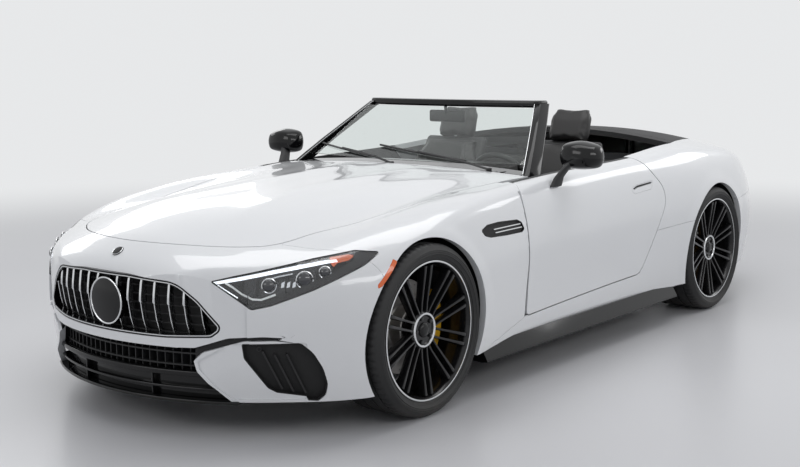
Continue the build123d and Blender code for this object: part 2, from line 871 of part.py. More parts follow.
def glass_section(z, x, bow, half, thickness):
    with BuildSketch(Plane.XY.offset(z)) as section:
        with BuildLine():
            front = ThreePointArc((x, -half), (x + bow, 0), (x, half))
            rear = ThreePointArc((x - thickness, -half), (x - thickness + bow, 0), (x - thickness, half))
            Line(front @ 0, rear @ 0)
            Line(front @ 1, rear @ 1)
        make_face()
    return section.sketch


glass_lean = (screen_base_x - screen_top_x) / (screen_top_z - screen_base_z)
with BuildPart() as windscreen:
    loft([
        glass_section(screen_glass_low_z, screen_base_x - 105, glass_bow, glass_low_half, glass_thickness),
        glass_section(
            screen_top_z - 30 - fit, screen_top_x + 30 * glass_lean - 12, header_bow, glass_top_half, glass_thickness
        ),
    ])
    add(windscreen_frame.part, mode=Mode.SUBTRACT)

with BuildPart() as mirror_left:
    with BuildSketch(Plane.YZ.offset(mirror_x)):
        with Locations((mirror_y, mirror_z)):
            RectangleRounded(mirror_width, mirror_height, 45)
    extrude(amount=60, taper=16)
    with BuildSketch(Plane.YZ.offset(mirror_x)):
        with Locations((mirror_y, mirror_z)):
            RectangleRounded(mirror_width, mirror_height, 45)
    extrude(amount=-50, taper=4)
    with BuildSketch(Plane.XY.offset(mirror_foot_z)) as foot_low:
        with Locations((mirror_x + 100, mirror_y - 80)):
            RectangleRounded(80, 30, 12)
    with BuildSketch(Plane.XY.offset(mirror_z - 30)) as foot_high:
        with Locations((mirror_x + 15, mirror_y - 45)):
            RectangleRounded(60, 60, 12)
    loft([foot_low.sketch, foot_high.sketch])
    add(hull.part, mode=Mode.SUBTRACT)

# ---------------------------------------------------------------- tail

with BuildPart() as tail_lamps:
    add(left_skin.part)
    add(tail_lamp_cut, mode=Mode.INTERSECT)
    mirror(about=Plane.XZ)

with BuildPart() as rear_diffuser:
    with BuildSketch(Plane.XZ.offset(-diffuser_half)):
        with BuildLine():
            Polyline((tail_x + 10, tail_cut_z - fit), (tail_x + 10, 225), (tail_x + 330, 160), (tail_x + 420, 160),
                     (tail_x + 420, 174), (tail_x + 335, 174), (tail_x + 30, 238), (tail_x + 30, tail_cut_z - fit),
                     close=True)
        make_face()
    extrude(amount=2 * diffuser_half)
    with BuildSketch(Plane.XZ.offset(-tail_cut_half + 2)):
        with BuildLine():
            Polyline((tail_x + 10, 212), (tail_x + 10, 200), (tail_x + 330, 160), (tail_x + 330, 172), close=True)
        make_face()
    extrude(amount=2 * (tail_cut_half - 2))
    for step in range(-1, 2):
        with BuildSketch(Plane.XZ.offset(-step * 140 - 5)):
            with BuildLine():
                Polyline((tail_x + 14, 250), (tail_x + 26, 170), (tail_x + 300, 142), (tail_x + 330, 162), close=True)
            make_face()
        extrude(amount=10)

with BuildPart() as exhaust_tips:
    for side in (1, -1):
        for y in exhaust_y:
            with BuildSketch(Plane.YZ.offset(tail_x + 6)):
                with Locations((side * y, exhaust_z)):
                    RectangleRounded(108, 58, 25)
                    RectangleRounded(98, 48, 20, mode=Mode.SUBTRACT)
            extrude(amount=150)
        with Locations((tail_x + 156, side * sum(exhaust_y) / 2, 222)):
            Box(230, 226, 400 - fit - 222, align=(Align.MIN, Align.CENTER, Align.MIN))

with BuildPart() as side_skirts:
    with BuildSketch(Plane.YZ.offset(rear_axle_x + 470)):
        with BuildLine():
            Polyline((780, 210), (780, 150), (905, 138), (935, 142), (935, 150), (900, 210), close=True)
        make_face()
    extrude(amount=front_axle_x - rear_axle_x - 470 - 400)
    add(hull.part, mode=Mode.SUBTRACT)
    mirror(about=Plane.XZ)

# ---------------------------------------------------------------- floor, bulkheads and rails

# x_rear, x_front, y_in, y_out, z_low, z_high: one box on each side of the centre plane
tub_pairs = [
    (-800, firewall_x, 0, 760, floor_z, floor_z + floor_wall),
    (-1050, -800, 0, 600, floor_z, floor_z + floor_wall),
    (-800, 1000, 700, 765, floor_z + 20, 330),
    (620, 735, 700, 750, 320, 815),
    (firewall_x - 20, firewall_x, 0, 700, floor_z + 20, 800),
    (540, firewall_x, 0, 700, 782, 800),
    (466, 498, 0, 750, 780, 850),
    (380, 498, 700, 750, 780, 850),
    (498, 735, 700, 750, 780, 815),
    (498, 540, 0, 700, 782, 800),
    (-1060, -1040, 0, 580, floor_z, 880),
    (-1060, -640, 125, 600, 330, 350),
    (-655, -640, 125, 600, floor_z, 350),
    (-1500, -640, 585, 600, 330, 870),
    (-2180, -1040, 0, 590, 400, 415),
    (-2180, -1480, 585, 597, 400, 720),
    (-2192, -2177, 0, 597, 400, 700),
    (-2230, -1060, 480, 560, 300, 402),
    (-1500, -1440, 0, 600, 780, 820),
    (firewall_x, 2100, 330, 400, 400, 500),
    (2100, 2150, 0, 560, 400, 520),
    (2050, 2062, 0, 400, 240, 640),
    (2040, 2105, 330, 400, 400, 500),
    (-2290, -2230, 0, 550, 300, 402),
]

with BuildPart() as body_tub:
    for x_rear, x_front, y_in, y_out, z_low, z_high in tub_pairs:
        for side in (1, -1):
            with Locations(((x_rear + x_front) / 2, side * (y_in + y_out) / 2, (z_low + z_high) / 2)):
                Box(x_front - x_rear, y_out - y_in, z_high - z_low)
    with Locations((firewall_x - tunnel_length / 2, 0, floor_z)):
        on_floor = (Align.CENTER, Align.CENTER, Align.MIN)
        Box(tunnel_length, 2 * tunnel_half, tunnel_height, align=on_floor)
        Box(
            tunnel_length,
            2 * (tunnel_half - tunnel_wall),
            tunnel_height - tunnel_wall,
            align=on_floor,
            mode=Mode.SUBTRACT,
        )
    for side in (1, -1):
        for z in door_hinge_z:
            with Locations((door_hinge_x, side * (750 + (door_hinge_y - 750) / 2), z)):
                Box(22, door_hinge_y - 750, 30)
            with Locations((door_hinge_x, side * door_hinge_y, z)):
                Cylinder(15, 30)
                Cylinder(door_pin_radius, door_pin_length)
        bonnet_bracket = (bonnet_arm + bracket_wall) / 2 + bracket_gap
        for offset_y in (bonnet_bracket, -bonnet_bracket):
            with Locations((bonnet_hinge_x + 8, side * bonnet_hinge_y + offset_y, 840)):
                Box(34, bracket_wall, bonnet_hinge_z - 830, align=(Align.CENTER, Align.CENTER, Align.MIN))
        with Locations((bonnet_hinge_x, side * bonnet_hinge_y, bonnet_hinge_z)):
            Cylinder(bonnet_pin_radius, 2 * bonnet_bracket, rotation=(90, 0, 0))
        with Locations(*[(x, side * jack_pad_y, jack_pad_z) for x in jack_pad_x]):
            Box(80, 50, floor_z - jack_pad_z, align=(Align.CENTER, Align.CENTER, Align.MIN))
        lid_bracket = (lid_arm + bracket_wall) / 2 + bracket_gap
        for offset_y in (lid_bracket, -lid_bracket):
            with Locations((lid_hinge_x + 10, side * lid_hinge_y + offset_y, 810)):
                Box(36, bracket_wall, lid_hinge_z - 800, align=(Align.CENTER, Align.CENTER, Align.MIN))
        with Locations((lid_hinge_x, side * lid_hinge_y, lid_hinge_z)):
            Cylinder(lid_pin_radius, 2 * lid_bracket, rotation=(90, 0, 0))


def liner(axle_x, hub_z, radius, inner_y):
    with BuildPart() as arch:
        with BuildSketch(Plane.XZ.offset(-inner_y)):
            with Locations((axle_x, hub_z)):
                Circle(radius + liner_wall)
                Circle(radius, mode=Mode.SUBTRACT)
                with Locations((0, -110 - radius)):
                    Rectangle(3 * radius, 2 * radius, mode=Mode.SUBTRACT)
        extrude(amount=inner_y - half_width)
        with BuildSketch(Plane.XZ.offset(-inner_y)):
            with Locations((axle_x, hub_z)):
                Circle(radius + liner_wall)
                Rectangle(330, 330, mode=Mode.SUBTRACT)
                with Locations((0, -110 - radius)):
                    Rectangle(3 * radius, 2 * radius, mode=Mode.SUBTRACT)
        extrude(amount=-liner_wall)
        add(cavity.part, mode=Mode.INTERSECT)
    return arch.part


with BuildPart() as arch_liners:
    add(liner(front_axle_x, front_tyre_radius, front_liner_radius, front_liner_inner_y))
    add(liner(rear_axle_x, rear_tyre_radius, rear_liner_radius, rear_liner_inner_y))
    mirror(about=Plane.XZ)
    add(sills.part, mode=Mode.SUBTRACT)

# ---------------------------------------------------------------- running gear

with BuildPart() as engine:
    with BuildSketch(Plane.YZ.offset(engine_x)):
        with BuildLine():
            Polyline((-150, 245), (150, 245), (180, 380), (300, 560), (250, 690), (-250, 690), (-300, 560),
                     (-180, 380), close=True)
        make_face()
    extrude(amount=engine_length)
    fillet(engine.edges().filter_by(Axis.X), 20)

with BuildPart() as subframes:
    for side in (1, -1):
        with Locations((front_axle_x, side * 215, 225)):
            Box(150, 430, 40)
        with Locations((front_axle_x, side * 415, 300)):
            Box(120, 30, 200)
        for z in (front_tyre_radius - kingpin_half, front_tyre_radius + kingpin_half):
            with BuildSketch(Plane.XY.offset(z - 10)):
                with BuildLine():
                    Polyline(
                        (front_axle_x - 60, side * 405),
                        (front_axle_x + 60, side * 405),
                        (front_axle_x + 20, side * kingpin_y),
                        (front_axle_x - 20, side * kingpin_y),
                        close=True,
                    )
                make_face()
                with Locations((front_axle_x, side * kingpin_y)):
                    Circle(kingpin_eye)
                    Circle(kingpin_radius + fit, mode=Mode.SUBTRACT)
            extrude(amount=20)
        with Locations((front_axle_x, side * 415, 350)):
            Box(120, 30, 300)
        with Locations((rear_axle_x, side * 280, 270)):
            Box(180, 560, 60)
        with Locations((rear_axle_x, side * 600, 250)):
            Box(90, 90, 20)
        with Locations((rear_axle_x, side * 622.5, 440)):
            Box(90, 45, 20)

with BuildPart() as rear_knuckles:
    with Locations((rear_axle_x, 660, rear_tyre_radius)):
        Box(110, 30, 240)
    with BuildSketch(Plane.XZ.offset(-675)):
        with Locations((rear_axle_x, rear_tyre_radius)):
            Circle(60)
    extrude(amount=-70)
    with BuildSketch(Plane.XZ.offset(-675)):
        with Locations((rear_axle_x, rear_tyre_radius)):
            Circle(stub_radius)
    extrude(amount=-(rear_hub_y - 676))
    with Locations((rear_axle_x + 100, rear_disc_y - caliper_half - 8, rear_tyre_radius)):
        Box(150, 16, 120)
    mirror(about=Plane.XZ)


def caliper_body(axle_x, hub_z, disc_y, middle_angle):
    """A block wrapped over the disc's rim, with a slot that the disc turns in."""
    hub = (axle_x, hub_z)
    with BuildPart() as body:
        with BuildSketch(Plane.XZ.offset(-(disc_y - caliper_half))):
            with BuildLine():
                outer = CenterArc(hub, caliper_outer, middle_angle - caliper_reach, 2 * caliper_reach)
                inner = CenterArc(hub, caliper_inner, middle_angle - caliper_reach, 2 * caliper_reach)
                Line(outer @ 0, inner @ 0)
                Line(outer @ 1, inner @ 1)
            make_face()
        extrude(amount=-2 * caliper_half)
        with BuildSketch(Plane.XZ.offset(-(disc_y - disc_thickness / 2 - 5))):
            with Locations(hub):
                Circle(disc_radius + 6)
        extrude(amount=-(disc_thickness + 10), mode=Mode.SUBTRACT)
    return body.part


with BuildPart() as front_left_caliper:
    add(caliper_body(front_axle_x, front_tyre_radius, front_disc_y, 180))

with BuildPart() as rear_calipers:
    add(caliper_body(rear_axle_x, rear_tyre_radius, rear_disc_y, -12))
    mirror(about=Plane.XZ)

with BuildPart() as front_left_knuckle:
    with Locations((front_axle_x, kingpin_y - 24, front_tyre_radius)):
        Box(70, 30, 2 * kingpin_half - 60)
    with BuildSketch(Plane.XZ.offset(-(kingpin_y - 30))):
        with Locations((front_axle_x, front_tyre_radius)):
            Circle(58)
    extrude(amount=-40)
    with BuildSketch(Plane.XZ.offset(-(kingpin_y - 30))):
        with Locations((front_axle_x, front_tyre_radius)):
            Circle(stub_radius)
    extrude(amount=-(front_hub_y - kingpin_y + 29))
    for side in (1, -1):
        with Locations((front_axle_x, kingpin_y - 10, front_tyre_radius + side * (kingpin_half - 30))):
            Box(60, 60, 20)
        with Locations((front_axle_x, kingpin_y, front_tyre_radius + side * (kingpin_half - 5))):
            Cylinder(kingpin_radius, 50)
    with Locations((front_axle_x - 100, front_disc_y - caliper_half - 8, front_tyre_radius)):
        Box(150, 16, 120)


def wheel_set(axle_x, wheel_y, tyre_width, tyre_radius, hub_y, disc_y):
    """Rim, tyre and brake disc of one left wheel."""
    hub_z = tyre_radius
    half = tyre_width / 2
    face_y = wheel_y + half - 14
    rim_in = wheel_y - half + 7
    wheel_axis = Axis((axle_x, 0, hub_z), (0, 1, 0))
    section_plane = Plane(origin=(axle_x, 0, hub_z), x_dir=(0, 1, 0), z_dir=(1, 0, 0))
    with BuildPart() as rim:
        with BuildSketch(section_plane):
            with BuildLine():
                Polyline(
                    (rim_in, seat_radius), (rim_in, rim_radius), (rim_in + 8, rim_radius),
                    (rim_in + 8, seat_radius), (face_y - 8, seat_radius), (face_y - 8, rim_radius),
                    (face_y, rim_radius), (face_y, seat_radius - barrel_wall - 3),
                    (face_y - 30, seat_radius - barrel_wall), (rim_in, seat_radius - barrel_wall), close=True,
                )
            make_face()
        revolve(axis=wheel_axis)
        with BuildSketch(Plane.XZ.offset(-(face_y - 6 - spoke_depth))):
            with Locations((axle_x, hub_z)):
                Circle(hub_radius)
                with PolarLocations(0, spoke_pairs):
                    for lean in (spoke_spread, -spoke_spread):
                        with Locations(Location((hub_radius * 0.6, 0, 0), (0, 0, lean))):
                            Rectangle(spoke_length, spoke_width, align=(Align.MIN, Align.CENTER))
        extrude(amount=-spoke_depth)
        with BuildSketch(Plane.XZ.offset(-hub_y)):
            with Locations((axle_x, hub_z)):
                Circle(hub_radius)
        extrude(amount=-(face_y - 6 - spoke_depth - hub_y))
    with BuildPart() as tyre:
        with BuildSketch(section_plane):
            with BuildLine():
                Polyline(
                    (wheel_y - half + 20, seat_radius + fit), (wheel_y - half, seat_radius + 38),
                    (wheel_y - half + shoulder_in, tyre_radius - shoulder_down),
                    (wheel_y - half + shoulder_in + 20, tyre_radius),
                    (wheel_y + half - shoulder_in - 20, tyre_radius),
                    (wheel_y + half - shoulder_in, tyre_radius - shoulder_down),
                    (wheel_y + half, seat_radius + 38), (wheel_y + half - 28, seat_radius + fit), close=True,
                )
            make_face()
        revolve(axis=wheel_axis)
    with BuildPart() as disc:
        with BuildSketch(section_plane):
            with BuildLine():
                Polyline(
                    (disc_y - disc_thickness / 2, 116), (disc_y - disc_thickness / 2, disc_radius),
                    (disc_y + disc_thickness / 2, disc_radius), (disc_y + disc_thickness / 2, 88),
                    (hub_y, 88), (hub_y, stub_radius + fit), (hub_y - 12, stub_radius + fit), (hub_y - 12, 76),
                    (disc_y, 76), (disc_y, 116), close=True,
                )
            make_face()
        revolve(axis=wheel_axis)
    return rim, tyre, disc


front_set = wheel_set(front_axle_x, front_wheel_y, front_tyre_width, front_tyre_radius, front_hub_y, front_disc_y)
rear_set = wheel_set(rear_axle_x, rear_wheel_y, rear_tyre_width, rear_tyre_radius, rear_hub_y, rear_disc_y)

# ---------------------------------------------------------------- cabin

wheel_plane = Plane(
    origin=(steering_x, steering_y, steering_z),
    x_dir=(0, 1, 0),
    z_dir=(-cos(radians(steering_tilt)), 0, sin(radians(steering_tilt))),
)

with BuildPart() as dashboard:
    with BuildSketch(Plane.XZ.offset(-dash_half)):
        with BuildLine():
            Polyline((465, 840), (465, 700), (610, 690), (610, 560), (340, 560), (262, 640), (240, 780),
                     (262, 850), (330, 878), (430, 850), close=True)
        make_face()
    extrude(amount=2 * dash_half)
    fillet(dashboard.edges().filter_by(Axis.Y).group_by(Axis.X)[0], 25)
    with Locations((dash_screen_x, steering_y, 868)):
        Box(20, 280, 100)
    with BuildSketch(wheel_plane.offset(-column_start - fit)):
        Circle(column_radius)
    extrude(amount=-column_length)

with BuildPart() as centre_console:
    with BuildSketch(Plane.XZ.offset(-125)):
        with BuildLine():
            Polyline((-640, floor_z + tunnel_height + fit), (-640, 540), (-260, 545), (-100, 500), (150, 520),
                     (225, 560 - fit), (330, 560 - fit), (330, floor_z + tunnel_height + fit), close=True)
        make_face()
    extrude(amount=250)


seat_foot_z = floor_z + floor_wall + fit


def seat(y):
    with BuildPart() as body:
        with BuildSketch(Plane.XZ.offset(-(y + seat_width / 2))):
            with BuildLine():
                Polyline((210, 300), (225, 440), (180, 480), (-160, 445), (-230, 500), (-455, 960), (-480, 990),
                         (-540, 985), (-560, 940), (-330, 400), (-300, seat_foot_z), (180, seat_foot_z), close=True)
            make_face()
        extrude(amount=seat_width)
        fillet(body.edges().filter_by(Axis.Y).group_by(Axis.Z)[-1], 20)
        with BuildSketch(Plane.XZ.offset(-(y + headrest_width / 2))):
            with BuildLine():
                Polyline((-470, 960), (-520, 1150), (-560, 1172), (-620, 1160), (-630, 1120), (-570, 950), close=True)
            make_face()
        extrude(amount=headrest_width)
    return body.part


with BuildPart() as front_seats:
    add(seat(seat_y))
    add(seat(-seat_y))

with BuildPart() as rear_seats:
    with BuildSketch(Plane.XZ.offset(-560)):
        with BuildLine():
            Polyline((-660, 350 + fit), (-660, 480), (-700, 500), (-930, 470), (-985, 880), (-1040, 900),
                     (-1040 + fit, 350 + fit), close=True)
        make_face()
    extrude(amount=1120)
    with Locations((-820, 0, 420)):
        Box(500, 90, 1400, mode=Mode.SUBTRACT)
    with Locations((-820, 0, floor_z)):
        Box(500, 2 * tunnel_half + 2 * fit, 2 * tunnel_height + 2 * fit, mode=Mode.SUBTRACT)

with BuildPart() as steering_wheel:
    with BuildSketch(Plane(origin=wheel_plane.origin, x_dir=wheel_plane.x_dir, z_dir=wheel_plane.y_dir)):
        with Locations((steering_radius, 0)):
            Circle(15)
    revolve(axis=Axis(wheel_plane.origin, wheel_plane.z_dir))
    with BuildSketch(wheel_plane.offset(-22)):
        Circle(58)
        Rectangle(2 * steering_radius, 36)
        with Locations((0, -steering_radius / 2)):
            Rectangle(30, steering_radius)
    extrude(amount=20)
    with BuildSketch(wheel_plane.offset(-22)):
        Circle(22)
    extrude(amount=-60)

pieces = [
    (bonnet, "bonnet"),
    (boot_lid, "boot_lid"),
    (roof_cover, "roof_cover"),
    (cowl_panel, "cowl_panel"),
    (door_left, "door_left"),
    (mirrored(door_left), "door_right"),
    (fender_left, "fender_left"),
    (mirrored(fender_left), "fender_right"),
    (quarter_left, "quarter_left"),
    (mirrored(quarter_left), "quarter_right"),
    (rear_bumper, "rear_bumper"),
    (front_bumper, "front_bumper"),
    (headlamps, "headlamps"),
    (headlamp_lenses, "headlamp_lenses"),
    (sills, "sills"),
    (radiator_grille, "radiator_grille"),
    (lower_intake, "lower_intake"),
    (front_splitter, "front_splitter"),
    (side_intakes, "side_intakes"),
    (fender_vents, "fender_vents"),
    (windscreen_frame, "windscreen_frame"),
    (windscreen, "windscreen"),
    (mirror_left, "mirror_left"),
    (mirrored(mirror_left), "mirror_right"),
    (tail_lamps, "tail_lamps"),
    (rear_diffuser, "rear_diffuser"),
    (exhaust_tips, "exhaust_tips"),
    (side_skirts, "side_skirts"),
    (body_tub, "body_tub"),
    (arch_liners, "arch_liners"),
    (engine, "engine"),
    (subframes, "subframes"),
    (rear_knuckles, "rear_knuckles"),
    (rear_calipers, "rear_calipers"),
    (front_left_knuckle, "front_left_knuckle"),
    (mirrored(front_left_knuckle), "front_right_knuckle"),
    (front_left_caliper, "front_left_caliper"),
    (mirrored(front_left_caliper), "front_right_caliper"),
    (dashboard, "dashboard"),
    (centre_console, "centre_console"),
    (front_seats, "front_seats"),
    (rear_seats, "rear_seats"),
    (steering_wheel, "steering_wheel"),
]
for corner, wheel in (("front", front_set), ("rear", rear_set)):
    for piece, kind in zip(wheel, ("rim", "tyre", "disc")):
        pieces.append((piece, f"{corner}_left_{kind}"))
        pieces.append((mirrored(piece), f"{corner}_right_{kind}"))

for piece, name in pieces:
    save(piece, name)
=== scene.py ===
import json
import math
import bpy
import bmesh
from mathutils import Matrix, Vector

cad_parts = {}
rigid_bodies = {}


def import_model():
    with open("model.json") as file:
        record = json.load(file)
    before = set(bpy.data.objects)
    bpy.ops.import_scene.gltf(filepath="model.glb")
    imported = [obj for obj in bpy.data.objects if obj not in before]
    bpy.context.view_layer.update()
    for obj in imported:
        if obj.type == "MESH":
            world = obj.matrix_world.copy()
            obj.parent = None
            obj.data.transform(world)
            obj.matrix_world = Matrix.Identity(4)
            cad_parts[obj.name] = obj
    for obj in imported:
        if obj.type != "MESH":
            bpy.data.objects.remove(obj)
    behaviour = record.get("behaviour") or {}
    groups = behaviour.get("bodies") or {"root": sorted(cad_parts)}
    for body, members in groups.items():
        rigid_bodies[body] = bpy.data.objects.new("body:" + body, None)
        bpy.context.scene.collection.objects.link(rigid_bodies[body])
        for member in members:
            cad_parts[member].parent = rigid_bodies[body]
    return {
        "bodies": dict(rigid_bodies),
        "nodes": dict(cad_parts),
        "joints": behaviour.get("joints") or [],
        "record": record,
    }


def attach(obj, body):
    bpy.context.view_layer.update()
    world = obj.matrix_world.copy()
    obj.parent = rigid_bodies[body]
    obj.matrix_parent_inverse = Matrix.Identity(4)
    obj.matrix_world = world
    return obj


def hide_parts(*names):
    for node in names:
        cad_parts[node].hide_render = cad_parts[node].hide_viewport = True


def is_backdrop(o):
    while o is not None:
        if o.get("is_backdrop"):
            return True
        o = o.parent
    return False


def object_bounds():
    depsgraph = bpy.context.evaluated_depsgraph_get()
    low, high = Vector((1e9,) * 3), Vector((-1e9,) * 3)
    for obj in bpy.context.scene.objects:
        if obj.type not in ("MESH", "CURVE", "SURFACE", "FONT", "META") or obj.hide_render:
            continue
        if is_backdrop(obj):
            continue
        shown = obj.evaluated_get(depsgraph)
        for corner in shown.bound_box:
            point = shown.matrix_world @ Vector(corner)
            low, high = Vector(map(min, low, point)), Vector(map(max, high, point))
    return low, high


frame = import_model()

cadLow, cadHigh = (Vector(corner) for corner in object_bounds())
jointAt = {joint["name"]: Vector(joint["pos_m"]) for joint in frame["joints"]}
rootBody = "car_body"
noseX, tailX = cadHigh.x, cadLow.x
frontAxle = jointAt["front_left_wheel_spin"]
rearAxle = jointAt["rear_left_wheel_spin"]

# ---- small helpers


def pick(obj):
    bpy.ops.object.select_all(action="DESELECT")
    obj.select_set(True)
    bpy.context.view_layer.objects.active = obj


def meshPiece(name, points, faces, edges=()):
    mesh = bpy.data.meshes.new(name)
    mesh.from_pydata(points, edges, faces)
    obj = bpy.data.objects.new(name, mesh)
    bpy.context.collection.objects.link(obj)
    return obj


def copyOf(obj, name):
    other = obj.copy()
    other.data = obj.data.copy()
    other.name = other.data.name = name
    bpy.context.collection.objects.link(other)
    return other


def remove(*objs):
    for obj in objs:
        bpy.data.objects.remove(obj, do_unlink=True)


def applyAll(obj):
    pick(obj)
    for modifier in list(obj.modifiers):
        bpy.ops.object.modifier_apply(modifier=modifier.name)


def addModifier(obj, kind, **values):
    modifier = obj.modifiers.new(kind.title(), kind)
    for key, value in values.items():
        setattr(modifier, key, value)
    return modifier


def combine(obj, tool, operation="DIFFERENCE", solver="MANIFOLD"):
    addModifier(obj, "BOOLEAN", object=tool, operation=operation, solver=solver)
    applyAll(obj)
    return obj


def cleanMesh(obj, distance=1e-5):
    work = bmesh.new()
    work.from_mesh(obj.data)
    bmesh.ops.remove_doubles(work, verts=work.verts, dist=distance)
    bmesh.ops.dissolve_degenerate(work, edges=work.edges, dist=distance / 2)
    bmesh.ops.recalc_face_normals(work, faces=work.faces)
    work.to_mesh(obj.data)
    work.free()


def smooth(obj, angle=35):
    pick(obj)
    bpy.ops.object.shade_smooth_by_angle(angle=math.radians(angle))


def join(name, objs):
    bpy.ops.object.select_all(action="DESELECT")
    for obj in objs:
        obj.select_set(True)
    bpy.context.view_layer.objects.active = objs[0]
    bpy.ops.object.join()
    objs[0].name = objs[0].data.name = name
    return objs[0]


def settle(obj):
    pick(obj)
    bpy.ops.object.transform_apply(location=True, rotation=True, scale=True)
    return obj


def mirrorCopy(obj, name):
    other = copyOf(obj, name)
    other.data.transform(Matrix.Scale(-1, 4, (0, 1, 0)))
    other.data.flip_normals()
    return other


def roundedOutline(corners, steps=6):
    points = []
    count = len(corners)
    for index, (a, b, radius) in enumerate(corners):
        here = Vector((a, b))
        if radius <= 0:
            points.append(here)
            continue
        back = (Vector(corners[index - 1][:2]) - here).normalized()
        ahead = (Vector(corners[(index + 1) % count][:2]) - here).normalized()
        half = back.angle(ahead) / 2
        reach = radius / math.tan(half)
        centre = here + (back + ahead).normalized() * radius / math.sin(half)
        start = here + back * reach - centre
        turn = start.angle_signed(here + ahead * reach - centre)
        for step in range(steps + 1):
            points.append(centre + Matrix.Rotation(-turn * step / steps, 2) @ start)
    return points


def prism(outline, low, high, right=(1, 0, 0), up=(0, 1, 0), origin=(0, 0, 0)):
    right, up, origin = Vector(right), Vector(up), Vector(origin)
    out = right.cross(up)
    count = len(outline)
    points = [origin + right * p[0] + up * p[1] + out * depth for depth in (low, high) for p in outline]
    faces = [tuple(range(count))[::-1], tuple(range(count, 2 * count))]
    faces += [(i, (i + 1) % count, (i + 1) % count + count, i + count) for i in range(count)]
    obj = meshPiece("cutter", points, faces)
    cleanMesh(obj)
    return obj


def planPrism(outline, low=0.65, high=1.4):
    return prism(outline, low, high)


def sidePrism(outline, low=0.0, high=1.4):
    return prism(outline, -high, -low, right=(1, 0, 0), up=(0, 0, 1))


def frontPrism(outline, low=0.0, high=3.0):
    return prism(outline, low, high, right=(0, 1, 0), up=(0, 0, 1))


def boxCutter(low, high):
    corners = [(low[0], low[1]), (high[0], low[1]), (high[0], high[1]), (low[0], high[1])]
    return prism(corners, low[2], high[2])


def polar(radius, angle, centre=(0, 0)):
    return Vector((centre[0] + radius * math.cos(angle), centre[1] + radius * math.sin(angle)))


def circlePoints(radius, count, centre=(0, 0)):
    return [polar(radius, 2 * math.pi * i / count, centre) for i in range(count)]


def arcPoints(radius, spread, steps, centre=(0, 0)):
    return [polar(radius, spread * (2 * i / steps - 1), centre) for i in range(steps + 1)]


def grow(outline, gap):
    if not gap:
        return outline
    area = sum(a.x * b.y - b.x * a.y for a, b in zip(outline, outline[1:] + outline[:1]))
    side = 1 if area > 0 else -1
    result = []
    for i, here in enumerate(outline):
        back = (here - outline[i - 1]).normalized()
        ahead = (outline[(i + 1) % len(outline)] - here).normalized()
        normal = (Vector((back.y, -back.x)) + Vector((ahead.y, -ahead.x))).normalized()
        result.append(here + normal * gap * side / max(normal.dot(Vector((ahead.y, -ahead.x))), 0.4))
    return result


def stripOutline(points, width):
    points = [Vector(p) for p in points]
    left, right = [], []
    for i, here in enumerate(points):
        back = (here - points[max(i - 1, 0)]) or (points[1] - here)
        ahead = (points[min(i + 1, len(points) - 1)] - here) or back
        if back.length < 1e-9:
            back = ahead
        along = (back.normalized() + ahead.normalized()).normalized()
        normal = Vector((-along.y, along.x)) * width / 2
        left.append(here + normal)
        right.append(here - normal)
    return left + right[::-1]


def xzPrism(outline, low, high, origin=(0, 0, 0)):
    return prism(outline, low, high, (1, 0, 0), (0, 0, 1), origin)


def bevelEdges(obj, width, segments=2, angle=40):
    addModifier(obj, "BEVEL", width=width, segments=segments, limit_method="ANGLE", angle_limit=math.radians(angle),
                use_clamp_overlap=True)
    applyAll(obj)
    return obj


def placeAt(obj, x, y, z):
    obj.data.transform(Matrix.Translation((x, y, z)))
    return obj


def named(obj, name):
    obj.name = obj.data.name = name
    return obj


def finish(obj, body, material, nodes=(), angle=35):
    settle(obj)
    obj.data.materials.clear()
    obj.data.materials.append(material)
    smooth(obj, angle)
    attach(obj, body)
    if nodes:
        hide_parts(*nodes)
    return obj


def placePair(left, body, material, nodes=(), angle=35):  # a * in a body or node stands for the side
    right = mirrorCopy(left, left.name.replace("Left", "Right"))
    for obj, side in ((left, "left"), (right, "right")):
        finish(obj, body.replace("*", side), material, [node.replace("*", side) for node in nodes], angle)
    return left, right


def ring(name, radius, minor, place, turn=(0, 0, 0), segments=40, minorSegments=8):
    bpy.ops.mesh.primitive_torus_add(major_radius=radius, minor_radius=minor, major_segments=segments,
                                     minor_segments=minorSegments, location=place, rotation=turn)
    return named(settle(bpy.context.object), name)


def roundPlate(name, radius, depth, place, turn=(0, 0, 0), segments=40, bevel=(0, 0, 0)):
    bpy.ops.mesh.primitive_cylinder_add(vertices=segments, radius=radius, depth=depth, location=place, rotation=turn)
    piece = settle(bpy.context.object)
    if bevel[0]:
        bevelEdges(piece, *bevel)
    return named(piece, name)


def roundedBlock(name, size, place, bevel):
    bpy.ops.mesh.primitive_cube_add(size=1, location=place)
    bpy.context.object.scale = size
    return named(bevelEdges(settle(bpy.context.object), *bevel), name)


def lathe(name, profile, steps):
    count = len(profile)
    edges = [(i, (i + 1) % count) for i in range(count)]
    obj = meshPiece(name, [(r, y, 0) for r, y in profile], [], edges)
    addModifier(obj, "SCREW", axis="Y", angle=2 * math.pi, steps=steps, render_steps=steps, use_merge_vertices=True,
                merge_threshold=1e-5, use_smooth_shade=False)
    applyAll(obj)
    cleanMesh(obj)
    return obj


def loftFaces(rings, size):
    faces = []
    for r in range(rings - 1):
        for k in range(size):
            n = (k + 1) % size
            faces.append((r * size + k, r * size + n, (r + 1) * size + n, (r + 1) * size + k))
    return faces + [tuple(range(size))[::-1], tuple(range((rings - 1) * size, rings * size))]


def ringLoft(name, rings):
    obj = meshPiece(name, [Vector(p) for ring in rings for p in ring], loftFaces(len(rings), len(rings[0])))
    cleanMesh(obj)
    return obj


def softPath(points, rounds=3):
    points = [Vector(p) for p in points]
    for _ in range(rounds):
        finer = [points[0]]
        for a, b in zip(points, points[1:]):
            finer += [a.lerp(b, 0.25), a.lerp(b, 0.75)]
        points = finer + [points[-1]]
    return points


